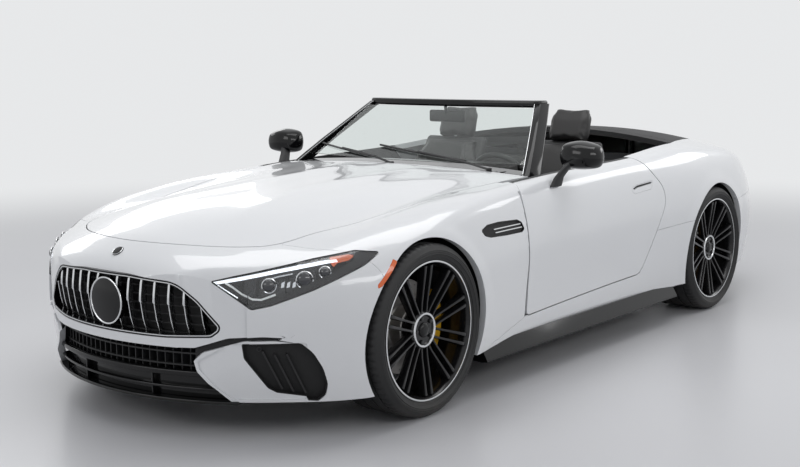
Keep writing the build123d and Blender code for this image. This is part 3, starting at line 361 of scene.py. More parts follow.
def sweep(name, points, section, up=(0, 0, 1), rounds=3):
    path = softPath(points, rounds)
    rings = []
    for i, here in enumerate(path):
        along = (path[min(i + 1, len(path) - 1)] - path[max(i - 1, 0)]).normalized()
        side = along.cross(Vector(up)).normalized()
        lift = side.cross(along)
        rings.append([here + side * a + lift * b for a, b in section])
    return ringLoft(name, rings)


def ovalSection(wide, high, count=16):
    return [(wide / 2 * a, high / 2 * b) for a, b in circlePoints(1, count)]


def gauss(value, spread):
    return math.exp(-(value / spread) ** 2 / 2)


def ease(value, start, end):
    t = min(max((value - start) / (end - start), 0.0), 1.0)
    return t * t * (3 - 2 * t)


def hump(value, start, peakStart, peakEnd, end):
    return ease(value, start, peakStart) * (1 - ease(value, peakEnd, end))


# ---- materials


def nodeGroup(name, inputs, outputs):
    group = bpy.data.node_groups.new(name, "ShaderNodeTree")
    for label, kind, default in inputs:
        item = group.interface.new_socket(label, in_out="INPUT", socket_type=kind)
        if default is not None:
            item.default_value = default
    for label, kind in outputs:
        group.interface.new_socket(label, in_out="OUTPUT", socket_type=kind)
    group.nodes.new("NodeGroupInput")
    group.nodes.new("NodeGroupOutput")
    return group, group.nodes["Group Input"].outputs, group.nodes["Group Output"].inputs


def addNode(tree, kind, inputs=(), **values):
    node = tree.nodes.new("ShaderNode" + kind)
    for key, value in values.items():
        setattr(node, key, value)
    for socket, value in dict(inputs).items():
        node.inputs[socket].default_value = value
    return node


def wire(tree, *pairs):
    for start, end in pairs:
        tree.links.new(start, end)


def makeGrainGroup():
    group, given, result = nodeGroup(
        "surfaceGrain",
        [("Vector", "NodeSocketVector", None), ("Scale", "NodeSocketFloat", 60.0), ("Bump", "NodeSocketFloat", 0.1),
         ("Roughness", "NodeSocketFloat", 0.4), ("Spread", "NodeSocketFloat", 0.08)],
        [("Roughness", "NodeSocketFloat"), ("Normal", "NodeSocketVector")],
    )
    broad = addNode(group, "TexNoise", {"Scale": 6.0, "Detail": 4.0})
    fine = addNode(group, "TexNoise", {"Detail": 3.0})
    centred = addNode(group, "Math", {1: 0.5}, operation="SUBTRACT")
    spread = addNode(group, "Math", operation="MULTIPLY_ADD")
    bump = addNode(group, "Bump", {"Distance": 0.001})
    wire(group, (given["Vector"], broad.inputs["Vector"]), (given["Vector"], fine.inputs["Vector"]),
         (given["Scale"], fine.inputs["Scale"]), (broad.outputs["Fac"], centred.inputs[0]),
         (centred.outputs[0], spread.inputs[0]), (given["Spread"], spread.inputs[1]),
         (given["Roughness"], spread.inputs[2]), (spread.outputs[0], result["Roughness"]),
         (given["Bump"], bump.inputs["Strength"]), (fine.outputs["Fac"], bump.inputs["Height"]),
         (bump.outputs["Normal"], result["Normal"]))
    return group


def makeDustGroup():
    group, given, result = nodeGroup(
        "roadDust",
        [("Vector", "NodeSocketVector", None), ("Color", "NodeSocketColor", (0.8, 0.8, 0.8, 1)),
         ("Dust", "NodeSocketColor", (0.32, 0.29, 0.25, 1)), ("Height", "NodeSocketFloat", 0.3),
         ("Amount", "NodeSocketFloat", 0.2)],
        [("Color", "NodeSocketColor"), ("Mask", "NodeSocketFloat")],
    )
    split = addNode(group, "SeparateXYZ")
    fall = addNode(group, "MapRange", {"From Max": 0.0, "To Min": 0.0, "To Max": 1.0})
    speckle = addNode(group, "TexNoise", {"Scale": 14.0, "Detail": 6.0})
    mask = addNode(group, "Math", operation="MULTIPLY")
    scaled = addNode(group, "Math", operation="MULTIPLY")
    mix = addNode(group, "Mix", data_type="RGBA")
    wire(group, (given["Vector"], split.inputs[0]), (given["Vector"], speckle.inputs["Vector"]),
         (split.outputs["Z"], fall.inputs["Value"]), (given["Height"], fall.inputs["From Min"]),
         (fall.outputs["Result"], mask.inputs[0]), (speckle.outputs["Fac"], mask.inputs[1]),
         (mask.outputs[0], scaled.inputs[0]), (given["Amount"], scaled.inputs[1]),
         (scaled.outputs[0], mix.inputs["Factor"]), (given["Color"], mix.inputs["A"]),
         (given["Dust"], mix.inputs["B"]), (mix.outputs["Result"], result["Color"]),
         (scaled.outputs[0], result["Mask"]))
    return group


def makeLeatherGroup():
    group, given, result = nodeGroup(
        "leatherGrain",
        [("Vector", "NodeSocketVector", None), ("Scale", "NodeSocketFloat", 450.0), ("Depth", "NodeSocketFloat", 0.3),
         ("Color", "NodeSocketColor", (0.03, 0.03, 0.03, 1)), ("Worn", "NodeSocketColor", (0.06, 0.06, 0.06, 1))],
        [("Color", "NodeSocketColor"), ("Normal", "NodeSocketVector")],
    )
    cells = addNode(group, "TexVoronoi", feature="DISTANCE_TO_EDGE")
    blotch = addNode(group, "TexNoise", {"Scale": 9.0})
    bump = addNode(group, "Bump", {"Distance": 0.0006})
    mix = addNode(group, "Mix", data_type="RGBA")
    wire(group, (given["Vector"], cells.inputs["Vector"]), (given["Vector"], blotch.inputs["Vector"]),
         (given["Scale"], cells.inputs["Scale"]), (cells.outputs["Distance"], bump.inputs["Height"]),
         (given["Depth"], bump.inputs["Strength"]), (blotch.outputs["Fac"], mix.inputs["Factor"]),
         (given["Color"], mix.inputs["A"]), (given["Worn"], mix.inputs["B"]),
         (mix.outputs["Result"], result["Color"]), (bump.outputs["Normal"], result["Normal"]))
    return group


grainGroup = makeGrainGroup()
dustGroup = makeDustGroup()
leatherGroup = makeLeatherGroup()


def newMaterial(name, **constants):
    material = bpy.data.materials.new(name)
    material.use_nodes = True
    shader = material.node_tree.nodes["Principled BSDF"]
    for socket, value in constants.items():
        shader.inputs[socket.replace("_", " ")].default_value = value
    return material, material.node_tree, shader


def objectPlace(tree):
    return addNode(tree, "TexCoord").outputs["Object"]


def surface(name, color, dust=0.0, dustHeight=0.3, scale=60.0, bump=0.05, roughness=0.4, spread=0.08, **constants):
    material, tree, shader = newMaterial(name, **constants)
    place = objectPlace(tree)
    grain = addNode(tree, "Group", node_tree=grainGroup)
    dirt = addNode(tree, "Group", node_tree=dustGroup)
    for socket, value in (("Scale", scale), ("Bump", bump), ("Roughness", roughness), ("Spread", spread)):
        grain.inputs[socket].default_value = value
    for socket, value in (("Color", (*color, 1)), ("Height", dustHeight), ("Amount", dust)):
        dirt.inputs[socket].default_value = value
    wire(tree, (place, grain.inputs["Vector"]), (place, dirt.inputs["Vector"]),
         (dirt.outputs["Color"], shader.inputs["Base Color"]), (grain.outputs["Roughness"], shader.inputs["Roughness"]))
    if "Transmission_Weight" not in constants:
        wire(tree, (grain.outputs["Normal"], shader.inputs["Normal"]))
    return material


def leather(name, color, worn, scale=450.0, depth=0.3, **constants):
    material, tree, shader = newMaterial(name, **constants)
    grain = addNode(tree, "Group", node_tree=leatherGroup)
    for socket, value in (("Color", (*color, 1)), ("Worn", (*worn, 1)), ("Scale", scale), ("Depth", depth)):
        grain.inputs[socket].default_value = value
    wire(tree, (objectPlace(tree), grain.inputs["Vector"]), (grain.outputs["Color"], shader.inputs["Base Color"]),
         (grain.outputs["Normal"], shader.inputs["Normal"]))
    return material


def glass(name, color):
    return surface(name, color, dust=0.02, scale=30.0, bump=0.0, roughness=0.01, spread=0.01, Transmission_Weight=1.0,
                   IOR=1.45)


def glowing(name, color, light, strength):
    return surface(name, color, scale=300, bump=0.0, roughness=0.2, spread=0.02, Emission_Color=(*light, 1),
                   Emission_Strength=strength)


paint = surface("whitePaint", (0.74, 0.75, 0.76), dust=0.10, dustHeight=0.35, scale=900, bump=0.006, roughness=0.32,
                spread=0.05, Metallic=0.0, Coat_Weight=1.0, Coat_Roughness=0.03)
glossBlack = surface("glossBlack", (0.004, 0.004, 0.0045), dust=0.01, scale=500, bump=0.004, roughness=0.10, spread=0.05,
                     IOR=1.36, Coat_Weight=0.1, Coat_Roughness=0.04)
satinBlack = surface("satinBlack", (0.010, 0.010, 0.011), dust=0.08, scale=700, bump=0.12, roughness=0.55, spread=0.12)
coverBlack = surface("coverBlack", (0.012, 0.012, 0.013), scale=1200, bump=0.2, roughness=0.6, spread=0.1)
underMetal = surface("underMetal", (0.03, 0.031, 0.033), dust=0.5, dustHeight=0.5, scale=120, bump=0.15, roughness=0.5,
                     spread=0.2, Metallic=0.3)
castMetal = surface("castMetal", (0.32, 0.33, 0.34), dust=0.35, dustHeight=0.6, scale=260, bump=0.3, roughness=0.5,
                    spread=0.15, Metallic=1.0)
brightMetal = surface("brightMetal", (0.72, 0.73, 0.74), scale=500, bump=0.01, roughness=0.14, spread=0.06, Metallic=1.0)
wheelBlack = surface("wheelBlack", (0.008, 0.008, 0.009), dust=0.03, scale=600, bump=0.01, roughness=0.22, spread=0.1,
                     Metallic=0.2, IOR=1.42, Coat_Weight=0.2, Coat_Roughness=0.06)
discMetal = surface("discMetal", (0.30, 0.29, 0.28), dust=0.1, scale=300, bump=0.2, roughness=0.35, spread=0.15,
                    Metallic=1.0)
caliperYellow = surface("caliperYellow", (0.75, 0.42, 0.02), dust=0.05, scale=400, bump=0.03, roughness=0.3, spread=0.1,
                        Coat_Weight=0.5, Coat_Roughness=0.1)
rubber = surface("tyreRubber", (0.011, 0.011, 0.0115), dust=0.12, dustHeight=0.12, scale=800, bump=0.25, roughness=0.62,
                 spread=0.15)
trimBlack = surface("trimBlack", (0.010, 0.010, 0.011), scale=1500, bump=0.25, roughness=0.5, spread=0.1)
screenBlack = surface("screenBlack", (0.006, 0.007, 0.009), scale=200, bump=0.0, roughness=0.08, spread=0.03)
tailRed = surface("tailRed", (0.14, 0.001, 0.002), scale=400, bump=0.02, roughness=0.15, spread=0.05, Coat_Weight=0.5)
amber = surface("amberLens", (0.75, 0.12, 0.01), scale=400, bump=0.05, roughness=0.2, spread=0.05, Coat_Weight=0.6)
seatLeather = leather("seatLeather", (0.009, 0.0085, 0.0085), (0.016, 0.015, 0.015), scale=420, depth=0.35, Roughness=0.5)
screenGlass = glass("screenGlass", (0.82, 0.87, 0.85))
lampGlass = glass("lampGlass", (0.97, 0.98, 1.0))
glow = glowing("lampGlow", (0.9, 0.92, 0.95), (0.9, 0.95, 1.0), 0.8)
warmGlow = glowing("warmGlow", (0.75, 0.76, 0.74), (0.8, 0.85, 0.85), 0.15)
tailGlow = glowing("tailGlow", (0.6, 0.01, 0.01), (1.0, 0.02, 0.01), 0.6)
# very dark matte black for the depths of openings and recesses: the black of the parts there with painted shade in its
# colour; the bare sheets and plugs made of it are painted shade alone
deepBlack = surface("deepBlack", (0.004, 0.004, 0.0045), scale=500, bump=0.1, roughness=0.7, spread=0.1)
projectorGlass = surface("projectorGlass", (0.02, 0.022, 0.028), scale=300, bump=0.0, roughness=0.03, spread=0.02,
                         Coat_Weight=1.0)
mirrorFace = surface("mirrorFace", (0.80, 0.81, 0.82), scale=300, bump=0.0, roughness=0.02, spread=0.01, Metallic=1.0)
pipingGrey = surface("pipingGrey", (0.05, 0.05, 0.052), scale=900, bump=0.2, roughness=0.5, spread=0.1)
print("materials ready")

# ---- camera, floor and lights

view = {"place": (5.2944, 3.7861, 1.4253), "heading": 218.264, "pitch": -8.130, "roll": -0.314, "lens": 54.858}


def makeCamera():
    heading, pitch, roll = (math.radians(view[key]) for key in ("heading", "pitch", "roll"))
    ahead = Vector((math.cos(pitch) * math.cos(heading), math.cos(pitch) * math.sin(heading), math.sin(pitch)))
    level = Vector((math.sin(heading), -math.cos(heading), 0))
    upright = level.cross(ahead)
    right = level * math.cos(roll) + upright * math.sin(roll)
    up = upright * math.cos(roll) - level * math.sin(roll)
    bpy.ops.object.camera_add()
    camera = bpy.context.object
    camera.data.lens = view["lens"]
    camera.data.sensor_width = 36
    camera.matrix_world = Matrix.Translation(view["place"]) @ Matrix((right, up, -ahead)).transposed().to_4x4()
    bpy.context.scene.camera = camera


stageLook = {
    "floor": (0.60, 0.60, 0.61), "backdrop": (0.80, 0.81, 0.82), "worldStrength": 0.46, "floorSize": 60, "fade": (3.2, 9.0),
}
softLights = {  # place, what it looks at, width, height, power
    "topLight": ((0.6, 0.4, 3.4), (0.3, 0, 0.7), 5.0, 1.6, 62),
    "sideStrip": ((1.4, 4.6, 2.3), (0.4, 0.5, 0.6), 4.5, 0.7, 36),
    "noseLight": ((5.6, -1.2, 2.4), (1.8, 0, 0.6), 2.6, 1.2, 28),
    "rearLight": ((-4.6, 2.2, 2.6), (-1.2, 0.2, 0.7), 2.5, 1.2, 28),
    "farLight": ((-0.5, -4.6, 2.6), (0.2, -0.3, 0.7), 4.5, 1.0, 28),
}


def seenPlainly(tree):  # 1 for camera, glossy and transmission rays
    path = addNode(tree, "LightPath")
    seen = addNode(tree, "Math", operation="MAXIMUM")
    either = addNode(tree, "Math", operation="MAXIMUM")
    wire(tree, (path.outputs["Is Camera Ray"], seen.inputs[0]), (path.outputs["Is Transmission Ray"], seen.inputs[1]),
         (seen.outputs[0], either.inputs[0]), (path.outputs["Is Glossy Ray"], either.inputs[1]))
    return either.outputs[0]


def makeFloor():
    look = stageLook
    bpy.ops.mesh.primitive_plane_add(size=look["floorSize"], location=(0, 0, 0))
    floor = bpy.context.object
    floor.name = "floor"
    material, tree, shader = newMaterial("paleFloor", Roughness=0.32)
    place = objectPlace(tree)
    noise = addNode(tree, "TexNoise", {"Scale": 0.7})
    paler = [c * 1.05 for c in look["floor"]]
    mottle = addNode(tree, "Mix", {"A": (*look["floor"], 1), "B": (*paler, 1)}, data_type="RGBA")
    length = addNode(tree, "VectorMath", operation="LENGTH")
    near, away = look["fade"]
    far = addNode(tree, "MapRange", {"From Min": near, "From Max": away}, interpolation_type="SMOOTHSTEP")
    amount = addNode(tree, "Math", operation="MULTIPLY")
    plain = addNode(tree, "Emission", {"Color": (*look["backdrop"], 1)})
    blend = addNode(tree, "MixShader")
    wire(tree, (place, noise.inputs["Vector"]), (noise.outputs["Fac"], mottle.inputs["Factor"]),
         (mottle.outputs["Result"], shader.inputs["Base Color"]), (place, length.inputs[0]),
         (length.outputs["Value"], far.inputs["Value"]), (seenPlainly(tree), amount.inputs[0]),
         (far.outputs["Result"], amount.inputs[1]), (amount.outputs[0], blend.inputs[0]),
         (shader.outputs[0], blend.inputs[1]), (plain.outputs[0], blend.inputs[2]),
         (blend.outputs[0], tree.nodes["Material Output"].inputs["Surface"]))
    floor.data.materials.append(material)
    floor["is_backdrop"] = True


def makeLights():
    world = bpy.data.worlds.new("studio")
    bpy.context.scene.world = world
    world.use_nodes = True
    tree = world.node_tree
    tree.nodes.clear()
    light = addNode(tree, "Background", {"Color": (0.92, 0.94, 1.0, 1), "Strength": stageLook["worldStrength"]})
    shown = addNode(tree, "Background", {"Color": (*stageLook["backdrop"], 1)})
    mix = addNode(tree, "MixShader")
    out = addNode(tree, "OutputWorld")
    wire(tree, (seenPlainly(tree), mix.inputs[0]), (light.outputs[0], mix.inputs[1]), (shown.outputs[0], mix.inputs[2]),
         (mix.outputs[0], out.inputs[0]))
    for name, (place, target, width, height, power) in softLights.items():
        bpy.ops.object.light_add(type="AREA", location=place)
        lamp = bpy.context.object
        lamp.name = name
        lamp.data.shape = "RECTANGLE"
        lamp.data.size, lamp.data.size_y = width, height
        lamp.data.energy = power
        lamp.rotation_euler = (Vector(target) - Vector(place)).to_track_quat("-Z", "Y").to_euler()


makeCamera()
makeFloor()
makeLights()
bpy.context.scene.view_settings.view_transform = "Standard"
print("camera, floor and lights ready")

# ---- the body's outer surface

halfWidth = 0.9575
bodyShape = {
    "wall": 0.030, "noseRadius": 1.05, "noseHalf": 0.60, "ringStep": 0.018,
    "lowFlank": 9, "side": 14, "shoulder": 10, "crown": 26,  # points along each arc of a section
    # x, yLow, zLow, yWide, zWide, sideRadius, zCrown, crownRadius, shoulderRadius
    "stations": [
        (noseX, 0.190, 0.165, 0.240, 0.400, 0.600, 0.560, 1.500, 0.060),
        (noseX - 0.027, 0.300, 0.158, 0.350, 0.420, 0.600, 0.640, 1.500, 0.080),
        (noseX - 0.117, 0.450, 0.150, 0.510, 0.440, 0.700, 0.716, 1.600, 0.110),
        (noseX - 0.282, 0.660, 0.145, 0.725, 0.450, 0.800, 0.778, 1.900, 0.150),
        (frontAxle.x + 0.337, 0.885, 0.148, halfWidth - 0.035, 0.460, 0.900, 0.832, 2.700, 0.160),
        (frontAxle.x, 0.925, 0.180, halfWidth - 0.007, 0.480, 0.900, 0.862, 4.700, 0.120),
        (0.722, 0.890, 0.180, halfWidth - 0.037, 0.520, 0.900, 0.905, 9.000, 0.090),
        (-0.330, 0.890, 0.190, halfWidth - 0.035, 0.580, 0.800, 0.960, 6.000, 0.090),
        (rearAxle.x, 0.915, 0.195, halfWidth, 0.600, 0.560, 1.020, 3.600, 0.120),
        (rearAxle.x - 0.533, 0.860, 0.190, halfWidth - 0.052, 0.550, 0.530, 0.972, 3.000, 0.120),
        (tailX + 0.302, 0.750, 0.180, halfWidth - 0.162, 0.510, 0.500, 0.900, 2.400, 0.110),
        (tailX + 0.102, 0.620, 0.190, halfWidth - 0.287, 0.500, 0.500, 0.838, 2.200, 0.090),
        (tailX, 0.450, 0.210, 0.500, 0.510, 0.520, 0.785, 2.000, 0.080),
    ],
    "valleyDepth": 0.036, "valleyAt": 0.60, "valleySpread": 0.085,
    "crestRise": 0.014, "crestAt": 0.775, "crestSpread": 0.055,
    "domeRise": 0.006, "domeSpread": 0.045,
    "flareRise": 0.007, "flareRadius": 0.375, "flareReach": 0.075,
    "doorHollow": 0.010,
}


def stationRows():  # smooth rows between the stations, at an even step along the body
    rows = bodyShape["stations"]
    along = [0.0]
    for a, b in zip(rows, rows[1:]):
        along.append(along[-1] + math.dist((a[0], a[3], a[6]), (b[0], b[3], b[6])))
    slopes = []
    for i in range(len(rows)):
        lo, hi = max(i - 1, 0), min(i + 1, len(rows) - 1)
        if lo == i or hi == i:
            slopes.append([(b - a) / (along[hi] - along[lo]) for a, b in zip(rows[lo], rows[hi])])
            continue
        back, ahead = along[i] - along[lo], along[hi] - along[i]
        slopes.append([((h - a) / back * ahead + (b - h) / ahead * back) / (back + ahead)
                       for a, h, b in zip(rows[lo], rows[i], rows[hi])])
    count = round(along[-1] / bodyShape["ringStep"])
    result = []
    for step in range(count + 1):
        s = along[-1] * step / count
        i = min(max(k for k, a in enumerate(along) if a <= s + 1e-9), len(rows) - 2)
        gap = along[i + 1] - along[i]
        t = (s - along[i]) / gap
        result.append([
            a + t * t * (3 - 2 * t) * (b - a) + gap * t * (1 - t) * ((1 - t) * da - t * db)
            for a, b, da, db in zip(rows[i], rows[i + 1], slopes[i], slopes[i + 1])
        ])
    return result


def sectionArcs(row):  # four arcs that meet without a corner: low flank, side, shoulder, crown
    x, yLow, zLow, yWide, zWide, sideRadius, zCrown, crownRadius, shoulderRadius = row
    lowRadius = ((yWide - yLow) ** 2 + (zWide - zLow) ** 2) / (2 * (yWide - yLow))
    lowCentre = Vector((yWide - lowRadius, zWide))
    sideCentre = Vector((yWide - sideRadius, zWide))
    crownCentre = Vector((0, zCrown - crownRadius))
    apart = crownCentre - sideCentre
    toSide, toCrown = sideRadius - shoulderRadius, crownRadius - shoulderRadius
    along = (toSide ** 2 - toCrown ** 2 + apart.length_squared) / (2 * apart.length)
    off = math.sqrt(toSide ** 2 - along ** 2)
    foot = sideCentre + apart.normalized() * along
    normal = Vector((-apart.y, apart.x)).normalized()
    shoulderCentre = max(foot + normal * off, foot - normal * off, key=lambda p: p.x)

    def angleOf(point, centre):
        return math.atan2(point.y - centre.y, point.x - centre.x)

    lowAngle = angleOf(Vector((yLow, zLow)), lowCentre)
    sideAngle = angleOf(shoulderCentre, sideCentre)
    crownAngle = angleOf(shoulderCentre, crownCentre)
    return [
        (lowCentre, lowRadius, lowAngle, 0.0, bodyShape["lowFlank"]),
        (sideCentre, sideRadius, 0.0, sideAngle, bodyShape["side"]),
        (shoulderCentre, shoulderRadius, sideAngle, crownAngle, bodyShape["shoulder"]),
        (crownCentre, crownRadius, crownAngle, math.pi / 2, bodyShape["crown"]),
    ]


def relief(x, y, z):  # how far the surface rises from its plain section
    shape = bodyShape
    rise = 0.0
    if z > 0.6:
        valley = gauss(y - shape["valleyAt"], shape["valleySpread"]) * hump(x, 0.55, 1.40, 1.55, 1.98)
        crest = gauss(y - shape["crestAt"], shape["crestSpread"]) * hump(x, 0.75, 1.35, 1.60, 2.00)
        rise += shape["crestRise"] * crest - shape["valleyDepth"] * valley
        domeAt = 0.19 + 0.13 * ease(x, 1.4, 2.1) + 0.05 * ease(-x, -0.9, -0.5)
        rise += shape["domeRise"] * gauss(y - domeAt, shape["domeSpread"]) * hump(x, 0.45, 0.80, 1.75, 2.15)
    if y > 0.7:
        for axle in (frontAxle, rearAxle):
            away = math.dist((x, z), (axle.x, axle.z)) - shape["flareRadius"]
            rise += shape["flareRise"] * (1 - ease(away, 0.0, shape["flareReach"]))
        rise -= shape["doorHollow"] * gauss(z - 0.40, 0.09) * hump(x, -0.55, 0.0, 0.60, 1.0)
    return rise


def hullSolid(depth, floor=None):
    rows = stationRows()
    rings = []
    for index, row in enumerate(rows):
        ahead, behind = rows[max(index - 1, 0)], rows[min(index + 1, len(rows) - 1)]
        turn = math.atan2(ahead[3] - behind[3], ahead[0] - behind[0])
        inset, shift = depth * math.cos(turn), depth * math.sin(turn)
        half = []
        for centre, radius, start, end, count in sectionArcs(row):
            for step in range(count):
                angle = start + (end - start) * step / count
                reach = radius - inset + relief(row[0], *polar(radius, angle, centre))
                half.append(polar(reach, angle, centre))
        top = (0.0, row[6] - inset)
        left = ([(half[0][0], floor)] if floor is not None else []) + half
        ring = [(row[0] + shift, y, z) for y, z in left] + [(row[0] + shift, *top)]
        ring += [(row[0] + shift, -y, z) for y, z in reversed(left)]
        rings.append(ring)
    return ringLoft("hull", rings)


def noseTrim(depth):
    radius, half = bodyShape["noseRadius"], bodyShape["noseHalf"]
    front = noseX - depth
    arc = arcPoints(radius, math.asin(half / radius), 48, (front - radius, 0))
    return planPrism(arc + [(noseX + 0.1, half), (noseX + 0.1, -half)], -0.2, 1.4)


hull = combine(hullSolid(0), noseTrim(0))
cavity = combine(hullSolid(bodyShape["wall"], floor=0.06), noseTrim(bodyShape["wall"]))
skin = combine(copyOf(hull, "skin"), cavity)
leftHalf = boxCutter((-3, 0, -0.5), (3, 2, 2))
leftSkin = combine(copyOf(skin, "leftSkin"), leftHalf, "INTERSECT")
leftHull = combine(copyOf(hull, "leftHull"), leftHalf, "INTERSECT")

layerDepths = (0.0035, 0.007, 0.013, 0.024, 0.028)  # surfaces under the outer one, for lamps and inserts
inside = {0.0: hull, bodyShape["wall"]: cavity}
for depth in layerDepths:
    inside[depth] = combine(hullSolid(depth), noseTrim(depth))
print("outer surface ready", len(skin.data.polygons))


def recess(piece, tool, depth):  # sinks a shape into a piece to that depth
    combine(tool, inside[depth])
    combine(piece, tool)


def inlay(name, tool, outer, inner):  # a layer of the body between two depths, inside the tool's outline
    piece = combine(copyOf(inside[outer], name), tool, "INTERSECT")
    combine(piece, inside[inner])
    cleanMesh(piece)
    return piece


# ---- painted panels

panelShape = {
    "gap": 0.0045, "doorGap": 0.0058, "bumperGap": 0.0015, "lampGap": 0.002,
    "bonnetNose": noseX - 0.136, "bonnetCorner": (noseX - 0.392, 0.583), "bonnetRear": (0.505, 0.765), "bonnetBow": 0.045,
    "bonnetCornerRadius": 0.07,
    "doorFront": 0.722, "doorRear": -0.360, "doorLow": (0.282, 0.322), "doorInner": 0.775, "swingRadius": 0.0673,
    "hingeLine": (0.677, 0.870),
    "swingSteps": ((0.242, 0.60, 0.0673), (0.599, 0.65, 0.0640), (0.649, 0.70, 0.0600), (0.699, 0.75, 0.0550),
                   (0.749, 0.84, 0.0500)),
    "sillFront": 1.040, "sillStep": 0.534, "cockpitFront": 0.430, "cockpitHalf": 0.768,
    "coverFront": -1.030, "coverHalf": (0.735, 0.590), "lidFront": -1.580, "lidHalf": 0.590, "lidLow": 0.735,
    "archRadius": 0.375, "lampTurn": 50,
    "coverSeams": (-0.36, 0.36), "seamHalf": 0.0016, "coverHem": 0.090, "hemWidth": 0.003,
    "plateRecess": [(-0.275, 0.420, 0.02), (0.275, 0.420, 0.02), (0.290, 0.560, 0.02), (-0.290, 0.560, 0.02)],
}


def bonnetOutline(gap=0.0):
    shape = panelShape
    (cornerX, cornerY), (rearX, rearY) = shape["bonnetCorner"], shape["bonnetRear"]
    front, radius = shape["bonnetNose"], shape["bonnetCornerRadius"]
    drop = front - cornerX
    noseArc = (cornerY ** 2 + drop ** 2) / (2 * drop)
    rearArc = (rearY ** 2 + shape["bonnetBow"] ** 2) / (2 * shape["bonnetBow"])
    reach = math.asin(cornerY / noseArc)
    half = [polar(noseArc, reach * (i / 32), (front - noseArc, 0)) for i in range(33)]
    corner, rear = Vector((cornerX, cornerY)), Vector((rearX, rearY))
    side = (rear - corner).normalized()
    half = [p for p in half if (p - corner).length > radius]  # the corner itself is rounded
    start = half[-1]
    end = corner + side * (start - corner).length
    for i in range(1, 9):
        t = i / 8
        half.append(start * (1 - t) ** 2 + corner * 2 * t * (1 - t) + end * t ** 2)
    half += [end.lerp(rear, i / 24) for i in range(1, 24)]
    rearReach, bow = math.asin(rearY / rearArc), shape["bonnetBow"]
    half += [polar(rearArc, rearReach * (1 - i / 24), (rearX + bow - rearArc, 0)) for i in range(25)]
    outline = half + [Vector((p.x, -p.y)) for p in reversed(half[1:-1])]
    return grow(outline, gap)


def doorOutline(gap=0.0):
    front, rear, (lowFront, lowRear) = panelShape["doorFront"], panelShape["doorRear"], panelShape["doorLow"]
    corners = [
        (front, lowFront, 0.025), (front, 0.862, 0.09), (front - 0.25, 0.935, 0), (front - 0.25, 1.15, 0),
        (rear + 0.06, 1.15, 0), (rear - 0.05, 0.925, 0.12), (rear - 0.262, 0.715, 0.11), (rear, lowRear, 0.09),
    ]
    return grow(roundedOutline(corners, 10), gap)


def rockerOutline(gap=0.0):
    shape = panelShape
    front, rear, (lowFront, lowRear) = shape["doorFront"], shape["doorRear"], shape["doorLow"]
    step = shape["sillStep"]
    corners = [
        (shape["sillFront"], 0.12, 0), (shape["sillFront"], 0.199, 0), (front, lowFront, 0), (rear, lowRear, 0),
        (rear - 0.06, step - 0.006, 0), (rearAxle.x, step + 0.02, 0), (rearAxle.x, 0.12, 0),
    ]
    return grow(roundedOutline(corners), gap)


def cockpitOutline(rearX):
    shape = panelShape
    wide, narrow = shape["coverHalf"]
    half = [(rearX, narrow), (shape["coverFront"], wide), (shape["doorRear"], shape["cockpitHalf"]),
            (shape["cockpitFront"], shape["cockpitHalf"])]
    return half + [(x, -y) for x, y in reversed(half)]


def rearBumperOutline():
    lidLow = panelShape["lidLow"] - panelShape["gap"]
    return [Vector(c) for c in ((-1.36, 0.06), (-1.36, 0.60), (tailX + 0.27, 0.64), (tailX + 0.27, lidLow),
                                (tailX - 0.03, lidLow), (tailX - 0.03, 0.06))]


def noseHalfOutline():
    cornerX, cornerY = panelShape["bonnetCorner"]
    front, side = noseX + 0.02, halfWidth + 0.02
    return [Vector(c) for c in ((cornerX - 0.12, 0), (cornerX - 0.12, cornerY - 0.04), (cornerX, cornerY),
                                (frontAxle.x + 0.266, side), (front, side), (front, 0))]


lampAcross = Vector((-math.sin(math.radians(panelShape["lampTurn"])), math.cos(math.radians(panelShape["lampTurn"])), 0))
lampOut = Vector((lampAcross.y, -lampAcross.x, 0))
# across, up and corner radius of each opening
lampOutline = [(-1.405, 0.613, 0.003), (-1.262, 0.510, 0.018), (-1.190, 0.525, 0.15), (-1.036, 0.578, 0.3),
               (-0.831, 0.660, 0.2), (-0.764, 0.700, 0.004), (-0.860, 0.709, 0.06), (-1.025, 0.685, 0.3),
               (-1.319, 0.632, 0.3)]
intakeOutline = [(-1.300, 0.378, 0.006), (-1.293, 0.322, 0.03), (-1.205, 0.203, 0.04), (-1.172, 0.184, 0.03),
                 (-1.062, 0.166, 0.004), (-1.055, 0.150, 0.003), (-1.016, 0.146, 0.014), (-0.988, 0.171, 0.03),
                 (-0.981, 0.216, 0.07), (-1.000, 0.280, 0.12), (-1.038, 0.344, 0.12), (-1.084, 0.381, 0.035)]
slotOutline = [(-1.530, 0.356, 0), (-1.472, 0.358, 0.05), (-1.350, 0.400, 0.10), (-1.223, 0.408, 0.3),
               (-1.125, 0.401, 0.12), (-1.050, 0.372, 0.01), (-1.090, 0.380, 0.02), (-1.179, 0.391, 0.2),
               (-1.290, 0.389, 0.12), (-1.440, 0.342, 0.05), (-1.476, 0.306, 0.0), (-1.530, 0.306, 0)]
scoopOutline = [(-1.463, 0.308, 0.012), (-1.350, 0.374, 0.06), (-1.285, 0.3825, 0.03), (-1.060, 0.3825, 0.01),
                (-1.060, 0.155, 0.01), (-1.330, 0.158, 0.03), (-1.392, 0.206, 0.06), (-1.455, 0.274, 0.03)]
grilleOutline = [(-0.518, 0.434, 0.026), (-0.430, 0.541, 0.15), (-0.348, 0.606, 0.13), (-0.130, 0.621, 0.4),
                 (0.130, 0.621, 0.4), (0.348, 0.606, 0.13), (0.430, 0.541, 0.15), (0.518, 0.434, 0.026),
                 (0.476, 0.399, 0.035), (0.300, 0.389, 0.4), (-0.300, 0.389, 0.4), (-0.476, 0.399, 0.035)]
mouthOutline = [(-0.404, 0.355, 0), (0.404, 0.355, 0), (0.411, 0.302, 0.01), (0.421, 0.266, 0.03), (0.484, 0.198, 0.08),
                (0.560, 0.10, 0), (-0.560, 0.10, 0), (-0.484, 0.198, 0.08), (-0.421, 0.266, 0.03), (-0.411, 0.302, 0.01)]


